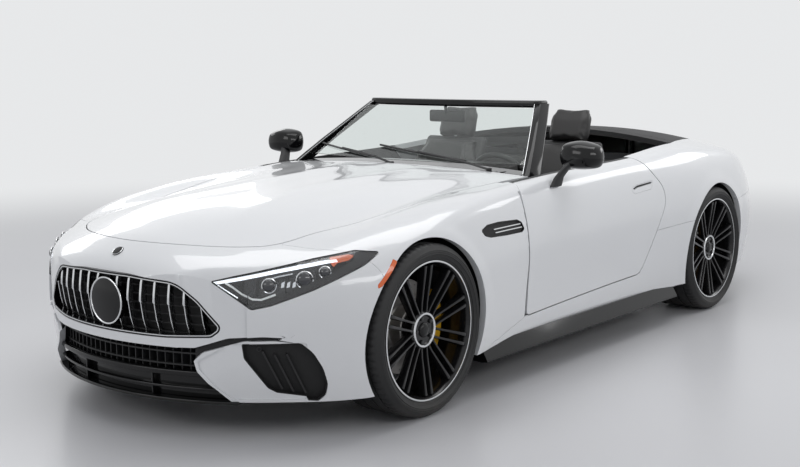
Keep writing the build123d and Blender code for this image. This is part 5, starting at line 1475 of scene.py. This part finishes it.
def makeDisc(key):
    wheel = wheelShape[key]
    y, outer, hub, axle = wheel["disc"], wheelShape["rotor"], wheel["hub"], wheel["axle"]
    profile = [
        (0.118, y + 0.0155), (outer - 0.001, y + 0.0155), (outer, y + 0.0145), (outer, y + 0.006),
        (outer - 0.006, y + 0.005), (outer - 0.006, y - 0.005), (outer, y - 0.006), (outer, y - 0.0145),
        (outer - 0.001, y - 0.0155), (0.118, y - 0.0155), (0.118, y - 0.004), (0.090, y - 0.004), (0.077, y + 0.006),
        (0.077, hub - 0.012), (0.058, hub - 0.012),
        (0.058, hub - 0.001), (0.084, hub - 0.001), (0.088, hub - 0.005), (0.088, y + 0.016), (0.094, y + 0.010),
        (0.118, y + 0.010),
    ]
    disc = lathe("disc", profile, 96)
    holes = []
    for row, radius in enumerate((0.131, 0.147, 0.163, 0.179)):
        for index in range(18):
            turn = 2 * math.pi * (index + row * 0.28) / 18
            holes.append(xzPrism(circlePoints(0.0032, 8, polar(radius, turn)), -0.9, -0.7))
    combine(disc, join("cutter", holes))
    return placeAt(named(disc, f"{key}DiscLeft"), axle.x, 0, axle.z)


caliperShape = {"inner": 0.127, "outer": 0.231, "half": 0.0415, "reach": 33, "slot": (0.124, 0.199, 0.0175)}


def makeCaliper(key, angle):
    wheel, shape = wheelShape[key], caliperShape
    axle, y = wheel["axle"], wheel["disc"]
    reach = math.radians(shape["reach"])

    def slab(inner, outer, low, high, spread):
        return xzPrism(arcPoints(outer, spread, 24) + arcPoints(inner, spread, 24)[::-1], low, high)

    body = slab(shape["inner"], shape["outer"], -y - shape["half"], -y + shape["half"], reach)
    low, high, half = shape["slot"]
    combine(body, slab(low, high, -y - half, -y + half, reach * 1.4))
    combine(body, slab(0.168, 0.190, -y - 0.1, -y + 0.1, reach * 0.32))
    bevelEdges(body, 0.005, 3, 40)
    parts = [body]
    for turn in (-0.36, 0, 0.36):
        x, z = polar(0.162, turn)
        place = (x, y + shape["half"] - 0.0045, z)
        parts.append(roundPlate("boss", 0.022, 0.010, place, (math.pi / 2, 0, 0), 32, (0.003, 3, 40)))
    caliper = join(f"{key}CaliperLeft", parts)
    caliper.data.transform(Matrix.Rotation(-math.radians(angle), 4, "Y"))
    return placeAt(caliper, axle.x, 0, axle.z)


def makeWheels():
    for key, angle in (("front", 180), ("rear", -12)):
        tyre, rimPieces, disc, caliper = makeTyre(key), makeRim(key), makeDisc(key), makeCaliper(key, angle)
        rim, lip, hubRing, cap = rimPieces
        pieces = [(tyre, "tyre_rubber", rubber, "tyre", 30), (rim, "wheel_black", wheelBlack, "rim", 35),
                  (lip, "bright_metal", brightMetal, "rim", 35), (hubRing, "bright_metal", brightMetal, "rim", 35),
                  (cap, "gloss_black", glossBlack, "rim", 35), (disc, "disc_steel", discMetal, "disc", 35)]
        for left, slotName, material, node, turn in pieces:
            placePair(left, f"{key}_*_wheel", material, [f"{key}_*_{node}"], turn)
        body, node = ("*_steering_knuckle", "front_*_caliper") if key == "front" else (rootBody, "rear_calipers")
        placePair(caliper, body, caliperYellow, [node])


makeWheels()
print("wheels ready")

# ---- engine cover, windscreen frame, mirrors and wipers

engineShape = {
    "cover": [(0.99, -0.21, 0.04), (1.50, -0.17, 0.05), (1.50, 0.17, 0.05), (0.99, 0.21, 0.04)], "coverZ": (0.686, 0.722),
    "ribs": 7, "ribStart": 1.06, "ribStep": 0.062, "ribHalf": 0.13, "ribWidth": 0.016,
    "pipe": [(1.53, 0.10, 0.700), (1.58, 0.16, 0.705), (1.56, 0.26, 0.690), (1.40, 0.285, 0.660), (1.10, 0.285, 0.655),
             (1.00, 0.285, 0.640)],
    "pipeSize": (0.052, 0.046),
    "tank": [(0.86, 0.30, 0.02), (1.00, 0.30, 0.02), (1.00, 0.45, 0.02), (0.86, 0.45, 0.02)], "tankZ": (0.60, 0.70),
}


def makeEngine():
    shape = engineShape
    cover = bevelEdges(planPrism(roundedOutline(shape["cover"], 6), *shape["coverZ"]), 0.008, 3, 40)
    half, floor = shape["ribHalf"], shape["coverZ"][1] - 0.006
    for i in range(shape["ribs"]):
        x = shape["ribStart"] + i * shape["ribStep"]
        combine(cover, boxCutter((x, -half, floor), (x + shape["ribWidth"], half, 1)))
    finish(named(cover, "engineCover"), rootBody, satinBlack)
    pipe = sweep("intakePipeLeft", shape["pipe"], ovalSection(*shape["pipeSize"], 20))
    placePair(pipe, rootBody, rubber)
    tank = bevelEdges(planPrism(roundedOutline(shape["tank"], 5), *shape["tankZ"]), 0.008, 3, 40)
    placePair(named(tank, "fluidTankLeft"), rootBody, satinBlack)


makeEngine()

screenShape = {  # up, front, rear, outer, inner for the pillar's sections
    "pillar": [(0.852, 0.500, 0.392, 0.765, 0.722), (0.884, 0.476, 0.370, 0.757, 0.712),
               (1.000, 0.330, 0.232, 0.690, 0.645), (1.110, 0.182, 0.088, 0.619, 0.575),
               (1.200, 0.062, -0.028, 0.560, 0.516)],
    "cornerRadius": 0.016, "headerFront": 0.055, "headerDepth": 0.085, "headerBow": 0.060, "headerHalf": 0.545,
    "headerLow": 1.181, "headerHigh": 1.2165,
}


def makeScreenFrame():
    shape = screenShape
    rings, r = [], shape["cornerRadius"]
    for up, front, rear, outer, inner in shape["pillar"]:
        corners = [(front, outer - 0.010, r), (rear, outer, r * 0.8), (rear, inner, r * 0.5), (front, inner, r * 0.5)]
        rings.append([(p.x, p.y, up) for p in roundedOutline(corners, 5)])
    pillar = ringLoft("pillar", rings)
    half, bow = shape["headerHalf"], shape["headerBow"]
    arcRadius = (half ** 2 + bow ** 2) / (2 * bow)

    def arc(shift):
        centre = (shape["headerFront"] + bow - arcRadius + shift, 0)
        return arcPoints(arcRadius, math.asin(half / arcRadius), 24, centre)

    header = prism(arc(0) + arc(-shape["headerDepth"])[::-1], shape["headerLow"], shape["headerHigh"])
    bevelEdges(header, 0.010, 4, 50)
    combine(header, pillar, "UNION")
    combine(header, mirrorCopy(pillar, "pillarRight"), "UNION")
    remove(pillar, bpy.data.objects["pillarRight"])
    finish(named(header, "screenSurround"), rootBody, glossBlack, ["windscreen_frame"], 40)
    rows = shape["pillar"]
    strip = [Vector((front + 0.002, inner + 0.006, up)) for up, front, rear, outer, inner in rows[1:]]
    trim = sweep("pillarTrimLeft", strip, ovalSection(0.0035, 0.003, 8), (1, 0, 0), 1)
    placePair(trim, rootBody, brightMetal)
    rearView = roundedBlock("rearView", (0.026, 0.225, 0.062), (0.085, 0, 1.128), (0.011, 4, 30))
    stem = [(0.105, 0, 1.190), (0.100, 0, 1.165), (0.090, 0, 1.135)]
    stem = sweep("stem", stem, ovalSection(0.016, 0.016), (0, 1, 0), 1)
    finish(join("rearViewMirror", [rearView, stem]), rootBody, trimBlack)


def glassAt(y, share):  # a point just above the windscreen
    low = Vector((0.395 + 0.115 * (1 - (y / 0.69) ** 2), y, 0.926))
    high = Vector((0.081 + 0.06 * (1 - (y / 0.545) ** 2), y * 0.79, 1.178))
    return low.lerp(high, share) + Vector((0.006, 0, 0.008))


wiperShape = {"arms": (((0.500, 0.545, 0.905), 0.10, 0.29), ((0.535, -0.02, 0.912), -0.44, 0.25)), "bladeHalf": 0.29}


def makeWipers():
    parts = []
    for pivot, bladeAt, rise in wiperShape["arms"]:
        start = Vector(pivot)
        middle = glassAt(bladeAt, rise * 0.42)
        arm = [start, start.lerp(middle, 0.4) + Vector((0.004, 0, 0.012)), middle + Vector((0.004, 0, 0.006))]
        parts.append(sweep("arm", arm, ovalSection(0.012, 0.007, 10), (1, 0, 1), 2))
        blade = [glassAt(bladeAt + wiperShape["bladeHalf"] * t, rise * (0.42 + 0.36 * -t)) for t in (-1, -0.5, 0, 0.5, 1)]
        parts.append(sweep("blade", blade, ovalSection(0.011, 0.009, 10), (1, 0, 1), 2))
        parts.append(roundPlate("boss", 0.013, 0.016, start, segments=20, bevel=(0.003, 2, 30)))
    finish(join("wipers", parts), rootBody, trimBlack)


mirrorShape = {"place": (0.330, 0.9445, 0.976), "size": (0.128, 0.200, 0.132), "glassDepth": 0.012}


def makeDoorMirror():
    shape = mirrorShape
    bpy.ops.mesh.primitive_cube_add(size=1, location=(0, 0, 0))
    shell = bpy.context.object
    pick(shell)
    bpy.ops.object.mode_set(mode="EDIT")
    bpy.ops.mesh.select_all(action="SELECT")
    bpy.ops.mesh.subdivide(number_cuts=3)
    bpy.ops.object.mode_set(mode="OBJECT")
    for vertex in shell.data.vertices:
        vertex.co = vertex.co.lerp(vertex.co.normalized() * 0.62, 0.62)
        x, y, z = vertex.co
        front = x + 0.5
        z *= 1 - 0.16 * front - 0.10 * max(y, 0) * 2
        y *= 1 - 0.10 * front
        z += 0.06 * (0.5 - abs(y)) - 0.05 * max(y, 0)
        vertex.co = (x + 0.10 * abs(y) * -front, y, z)
    shell.scale = shape["size"]
    settle(shell)
    addModifier(shell, "SUBSURF", levels=2, render_levels=2)
    applyAll(shell)
    placeAt(shell, *shape["place"])
    x, y, z = shape["place"]
    pocket = roundedOutline([(y - 0.080, z - 0.045, 0.030), (y - 0.080, z + 0.046, 0.030), (y + 0.078, z + 0.040, 0.030),
                             (y + 0.078, z - 0.040, 0.030)], 8)
    combine(shell, frontPrism(pocket, x - 0.2, x - shape["size"][0] / 2 + shape["glassDepth"]))
    cleanMesh(shell)
    rows = ((0.425, 0.868, 0.838, 0.095, 0.030), (0.412, 0.876, 0.880, 0.080, 0.026), (0.385, 0.892, 0.915, 0.070, 0.028),
            (0.350, 0.915, 0.950, 0.075, 0.045))
    foot = ringLoft("mirrorFootLeft", [[(fx + a, fy + b, fz) for a, b in ovalSection(wide, high, 20)]
                                       for fx, fy, fz, wide, high in rows])
    back = x - shape["size"][0] / 2 + shape["glassDepth"]
    face = bevelEdges(frontPrism(grow(pocket, -0.002), back - 0.002, back + 0.002), 0.0008, 2, 50)
    lamp = sweep("mirrorLampLeft", [(x + 0.044, y - 0.02, z - 0.012), (x + 0.045, y + 0.03, z - 0.012),
                                    (x + 0.030, y + 0.082, z - 0.008), (x + 0.004, y + 0.0945, z - 0.004)],
                 ovalSection(0.006, 0.009, 10), (0, 0, 1), 2)
    pieces = [(named(shell, "mirrorShellLeft"), "gloss_black", glossBlack), (foot, "satin_black", satinBlack),
              (named(face, "mirrorGlassLeft"), "bright_metal", mirrorFace), (lamp, "lamp_glass", amber)]
    for left, slotName, material in pieces:
        placePair(left, "*_door", material, ["mirror_*"])


makeScreenFrame()
makeWipers()
makeDoorMirror()
print("screen frame, wipers and mirrors ready")

# ---- seats

seatShape = {
    "y": 0.375, "half": 0.205, "voxel": 0.0086, "pressure": 4.0, "cap": 0.018,
    "shell": [(-0.230, 0.475), (-0.325, 0.405), (-0.345, 0.42), (-0.552, 0.945), (-0.540, 0.980), (-0.505, 0.975)],
    "base": [(0.185, 0.300), (0.205, 0.400), (-0.170, 0.392), (-0.300, 0.440), (-0.325, 0.380), (-0.290, 0.200),
             (0.170, 0.200)],
}


def denseBox(name, countX, countY, countZ, shape):
    points, faces, index = [], [], {}

    def at(i, j, k):
        key = (i, j, k)
        if key not in index:
            index[key] = len(points)
            points.append(shape(i / countX, 2 * j / countY - 1, k / countZ))
        return index[key]

    for i in range(countX):
        for j in range(countY):
            faces.append((at(i, j, 0), at(i, j + 1, 0), at(i + 1, j + 1, 0), at(i + 1, j, 0)))
            faces.append((at(i, j, countZ), at(i + 1, j, countZ), at(i + 1, j + 1, countZ), at(i, j + 1, countZ)))
    for i in range(countX):
        for k in range(countZ):
            faces.append((at(i, 0, k), at(i + 1, 0, k), at(i + 1, 0, k + 1), at(i, 0, k + 1)))
            faces.append((at(i, countY, k), at(i, countY, k + 1), at(i + 1, countY, k + 1), at(i + 1, countY, k)))
    for j in range(countY):
        for k in range(countZ):
            faces.append((at(0, j, k), at(0, j, k + 1), at(0, j + 1, k + 1), at(0, j + 1, k)))
            faces.append((at(countX, j, k), at(countX, j + 1, k), at(countX, j + 1, k + 1), at(countX, j, k + 1)))
    obj = meshPiece(name, points, faces)
    cleanMesh(obj)
    return obj


def stuff(obj, cap=None):  # swells a pad like cloth; no point moves farther than the cap
    shape = seatShape
    addModifier(obj, "REMESH", mode="VOXEL", voxel_size=shape["voxel"], use_smooth_shade=True)
    applyAll(obj)
    cap = cap or shape["cap"]
    rest = [vertex.co.copy() for vertex in obj.data.vertices]
    cloth = addModifier(obj, "CLOTH")
    cloth.settings.use_pressure = True
    cloth.settings.uniform_pressure_force = shape["pressure"]
    cloth.settings.effector_weights.gravity = 0
    for step in range(1, 21):
        bpy.context.scene.frame_set(step)
    applyAll(obj)
    bpy.context.scene.frame_set(1)
    for vertex, start in zip(obj.data.vertices, rest):
        move = vertex.co - start
        if move.length > cap:
            vertex.co = start + move * (cap / move.length)
    addModifier(obj, "SMOOTH", factor=0.5, iterations=3)
    addModifier(obj, "SUBSURF", levels=1, render_levels=1)
    applyAll(obj)
    return obj


def seatLine(start, end, t):
    return start[0] + (end[0] - start[0]) * t, start[1] + (end[1] - start[1]) * t


def cushionPoint(t, across, up):
    x, z = seatLine((-0.175, 0.385), (0.200, 0.398), t)
    wide = 0.215 * (1 - 0.10 * ease(t, 0.75, 1.0))
    rise = 0.026 * ease(abs(across), 0.60, 0.85)
    drop = 0.020 * ease(t, 0.80, 1.0)
    return x, wide * across, z + up * (0.036 + rise - drop)


def backPoint(t, across, up):
    x, z = seatLine((-0.300, 0.440), (-0.520, 0.960), t)
    wide = 0.215 * (1 - 0.20 * ease(t, 0.70, 1.0))
    forward = Vector((0.92, 0, 0.39))
    rise = 0.030 * ease(abs(across), 0.55, 0.85) * (1 - ease(t, 0.75, 1.0))
    lean = forward * up * (0.055 + rise + 0.012 * math.sin(math.pi * t))
    return x + lean.x, wide * across, z + lean.z


def headPoint(t, across, up):
    x, z = seatLine((-0.548, 0.968), (-0.606, 1.150), t)
    wide = 0.118 * (1 - 0.18 * ease(t, 0.70, 1.0) - 0.10 * (1 - ease(t, 0.0, 0.25)))
    return x + up * 0.062 * (1 - 0.20 * ease(t, 0.6, 1.0)), wide * across, z + 0.016 * up * (1 - t)


def surfaceSeam(name, pad, starts, direction, radius=0.0022):  # a raised line where rays meet a pad
    path = []
    for start in starts:
        hit, place, normal = pad.ray_cast(Vector(start), Vector(direction))[:3]
        if hit:
            path.append(place + normal * radius * 0.2)
    return sweep(name, path, ovalSection(radius * 2, radius * 2, 8), (0, 1, 0.01), 1)


def makeSeats():
    y = seatShape["y"]
    cushion = stuff(denseBox("seatCushionLeft", 24, 28, 5, cushionPoint))
    back = stuff(denseBox("seatBackLeft", 32, 28, 5, backPoint))
    head = stuff(denseBox("headrestLeft", 16, 18, 8, headPoint), 0.010)
    seams = []
    for across in (-0.125, 0.125):
        seams.append(surfaceSeam("seam", cushion, [(-0.13 + 0.026 * i, across, 0.8) for i in range(13)], (0, 0, -1)))
        starts = [(0.3 - 0.0145 * i, across, 0.60 + 0.034 * i) for i in range(15)]
        seams.append(surfaceSeam("seam", back, starts, (-0.92, 0, -0.39)))
    for i in range(1, 6):
        starts = [(-0.13 + 0.055 * i, -0.12 + 0.02 * k, 0.8) for k in range(13)]
        seams.append(surfaceSeam("seam", cushion, starts, (0, 0, -1), 0.0016))
    for i in range(2, 9):
        starts = [(0.3 - 0.021 * i, -0.12 + 0.02 * k, 0.60 + 0.049 * i) for k in range(13)]
        seams.append(surfaceSeam("seam", back, starts, (-0.92, 0, -0.39), 0.0016))
    piping = join("seatPipingLeft", seams)
    half = seatShape["half"]
    shellBack = bevelEdges(xzPrism(seatShape["shell"], -half, half), 0.022, 4, 40)
    base = bevelEdges(xzPrism(seatShape["base"], -half, half), 0.018, 4, 40)
    rails = [boxCutter((-0.28, s - 0.02, 0.176), (0.17, s + 0.02, 0.202)) for s in (-0.16, 0.16)]
    posts = [sweep("post", [(-0.548, s, 0.955), (-0.560, s, 0.985), (-0.572, s, 1.03)], ovalSection(0.012, 0.012),
                   (0, 1, 0), 1) for s in (-0.05, 0.05)]
    shell = join("seatShellLeft", [shellBack, base, *rails])
    postPair = join("headrestPostsLeft", posts)
    for obj in (cushion, back, head, piping, shell, postPair):
        placeAt(obj, 0, y, 0)
    pieces = [(cushion, "seat_leather", seatLeather, 0.6), (back, "seat_leather", seatLeather, 0.6),
              (head, "seat_leather", seatLeather, 0.7), (piping, "seat_leather", pipingGrey, 0),
              (shell, "trim_black", trimBlack, 0), (postPair, "bright_metal", brightMetal, 0)]
    for left, slotName, material, fill in pieces:  # fill: above 0 for a stuffed pad, which gets a wider smoothing angle, 0 for a hard piece
        for obj in placePair(left, rootBody, material, ["front_seats"], 60 if fill else 35):
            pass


def rearCushionPoint(t, across, up):
    x, z = seatLine((-0.930, 0.395), (-0.675, 0.415), t)
    return x, 0.205 * across, z + up * (0.048 + 0.016 * ease(abs(across), 0.6, 0.9))


def rearBackPoint(t, across, up):
    x, z = seatLine((-1.000, 0.460), (-1.020, 0.855), t)
    return x + up * (0.050 - 0.012 * t), 0.205 * across, z


def makeRearSeats():
    y = 0.330
    for label, point, size in (("rearCushion", rearCushionPoint, (20, 26, 5)), ("rearBack", rearBackPoint, (24, 26, 5))):
        pad = placeAt(stuff(denseBox(label + "Left", *size, point), 0.012), 0, y, 0)
        for obj in placePair(pad, rootBody, seatLeather, ["rear_seats"], 60):
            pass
    bases = [boxCutter((-0.985, middle - 0.200, 0.356), (-0.670, middle + 0.200, 0.400)) for middle in (y, -y)]
    finish(bevelEdges(join("rearSeatBase", bases), 0.01, 3, 40), rootBody, trimBlack, ["rear_seats"])


makeSeats()
makeRearSeats()
print("seats ready")

# ---- dashboard, console and steering wheel

cabinShape = {
    "dash": [(0.465, 0.840, 0.012), (0.465, 0.700, 0), (0.610, 0.690, 0.01), (0.610, 0.560, 0.01), (0.340, 0.560, 0.03),
             (0.262, 0.640, 0.03), (0.240, 0.780, 0.03), (0.262, 0.850, 0.03), (0.330, 0.878, 0.06), (0.430, 0.850, 0.06)],
    "hood": [(0.205, 0.835, 0.01), (0.330, 0.835, 0.01), (0.335, 0.900, 0.02), (0.215, 0.915, 0.012)], "hoodHalf": 0.150,
    "screen": [(-0.105, -0.145, 0.015), (0.105, -0.145, 0.015), (0.105, 0.145, 0.015), (-0.105, 0.145, 0.015)],
    "console": [(-0.640, 0.362, 0), (-0.640, 0.540, 0.02), (-0.260, 0.545, 0.05), (-0.100, 0.505, 0.05),
                (0.150, 0.520, 0.05), (0.225, 0.557, 0.01), (0.330, 0.557, 0), (0.330, 0.362, 0)],
    "consoleHalf": 0.122, "cupsAt": ((0.020, -0.048), (0.020, 0.048)),
    "dashHalf": 0.697, "vents": (-0.60, -0.10, 0.10, 0.60), "ventAt": (0.236, 0.800), "ventRadius": 0.036,
    "wheelAt": (0.130, 0.375, 0.780), "wheelTilt": 22, "wheelRadius": 0.178,
}


def makeDash():
    shape = cabinShape
    half = shape["dashHalf"]
    body = bevelEdges(xzPrism(roundedOutline(shape["dash"], 8), -half, half), 0.008, 3, 60)
    finish(named(body, "dashBody"), rootBody, seatLeather, ["dashboard"])
    rings, blades = [], []
    (x, z), radius, across = shape["ventAt"], shape["ventRadius"], (0, math.pi / 2, 0)
    for y in shape["vents"]:
        rings += [ring("ventRing", radius, 0.0045, (x, y, z), across, 40, 10),
                  ring("ventRing", radius * 0.30, 0.003, (x, y, z), across, 40, 10)]
        for index in range(8):
            blade = boxCutter((-0.004, 0.011, -0.0012), (0.012, radius - 0.003, 0.0012))
            blade.data.transform(Matrix.Translation((x, y, z)) @ Matrix.Rotation(math.pi * index / 4, 4, "X"))
            blades.append(blade)
        blades.append(roundPlate("ventBack", radius, 0.008, (x + 0.010, y, z), across))
    finish(join("dashVentRings", rings), rootBody, brightMetal)
    finish(join("dashVentBlades", blades), rootBody, satinBlack)
    middle, half = -shape["wheelAt"][1], shape["hoodHalf"]
    hood = bevelEdges(xzPrism(roundedOutline(shape["hood"], 6), middle - half, middle + half), 0.012, 4, 50)
    finish(named(hood, "instrumentHood"), rootBody, seatLeather)
    panel = bevelEdges(boxCutter((0.2025, 0.245, 0.838), (0.2075, 0.505, 0.905)), 0.002, 2, 40)
    centre = prism(roundedOutline(shape["screen"], 6), -0.006, 0.006, (0, 1, 0), (0.50, 0, 0.866), (0.235, 0, 0.700))
    bevelEdges(centre, 0.002, 2, 40)
    finish(join("screenPanels", [panel, centre]), rootBody, screenBlack)
    strip = bevelEdges(boxCutter((0.2335, -0.690, 0.742), (0.2450, 0.690, 0.748)), 0.0015, 2, 40)
    finish(named(strip, "dashStrip"), rootBody, brightMetal)


def makeConsole():
    shape = cabinShape
    half = shape["consoleHalf"]
    body = bevelEdges(xzPrism(roundedOutline(shape["console"], 6), -half, half), 0.010, 3, 50)
    for place in shape["cupsAt"]:
        combine(body, prism(circlePoints(0.036, 40, place), 0.440, 0.60))
    finish(named(body, "consoleBody"), rootBody, glossBlack, ["centre_console"])
    lid = roundedBlock("armrest", (0.340, 0.216, 0.024), (-0.430, 0, 0.5405), (0.010, 4, 30))
    finish(lid, rootBody, seatLeather, ["centre_console"])
    cups = [ring("cup", 0.037, 0.0025, (*place, 0.5125)) for place in shape["cupsAt"]]
    finish(join("cupRings", cups), rootBody, brightMetal)


def makeSteeringWheel():
    shape = cabinShape
    tilt = math.radians(shape["wheelTilt"])
    out, up = Vector((-math.cos(tilt), 0, math.sin(tilt))), Vector((math.sin(tilt), 0, math.cos(tilt)))
    place = Matrix.Translation(shape["wheelAt"]) @ Matrix((up.cross(out), up, out)).transposed().to_4x4()
    rim = ring("rim", shape["wheelRadius"], 0.0145, (0, 0, 0), segments=96, minorSegments=20)
    for vertex in rim.data.vertices:  # the rim's foot is flattened
        if vertex.co.y < -0.145:
            vertex.co.y = -0.145 + (vertex.co.y + 0.145) * 0.45
    bpy.ops.mesh.primitive_uv_sphere_add(segments=48, ring_count=24, radius=0.072, location=(0, -0.004, -0.010))
    hub = bpy.context.object
    hub.scale = (1.0, 0.86, 0.28)
    settle(hub)
    spokes = []
    for wide, points in ((0.034, ((0.050, 0.006, -0.008), (0.110, 0.010, -0.004), (0.170, 0.006, 0))),
                         (0.014, ((0.022, -0.050, -0.008), (0.026, -0.100, -0.006), (0.030, -0.158, 0)))):
        for side in (1, -1):
            path = [(side * a, b, c) for a, b, c in points]
            spokes.append(sweep("spoke", path, ovalSection(wide, 0.010), (0, 0, 1), 2))
    column = lathe("column", [(0.001, 0.0), (0.034, 0.0), (0.038, -0.012), (0.040, -0.050), (0.001, -0.050)], 40)
    column.data.transform(Matrix.Rotation(math.pi / 2, 4, "X"))
    placeAt(column, 0, 0, -0.016)
    for objs, label, slotName, material in (([rim], "wheelRim", "seat_leather", seatLeather),
                                            ([hub, column], "wheelHub", "seat_leather", trimBlack),
                                            (spokes, "wheelSpokes", "satin_black", castMetal)):
        obj = join(label, objs)
        obj.data.transform(place)
        finish(obj, "steering_wheel", material, ["steering_wheel"])


makeDash()
makeConsole()
makeSteeringWheel()
print("cabin ready")

for obj in list(bpy.data.objects):  # the shapes that only cut others
    if obj.name.split(".")[0] in ("cutter", "hull", "skin", "leftSkin", "leftHull"):
        remove(obj)
print("cutting shapes removed")

# ---- finishes of the pieces that keep their CAD shape

cadFinish = {
    "body_tub": underMetal, "arch_liners": satinBlack, "engine": castMetal, "subframes": underMetal,
    "windscreen": screenGlass, "side_skirts": glossBlack, "rear_knuckles": castMetal,
    "front_left_knuckle": castMetal, "front_right_knuckle": castMetal,
}
for name, material in cadFinish.items():
    mesh = frame["nodes"][name].data
    mesh.materials.clear()
    mesh.materials.append(material)
print("CAD finishes set")
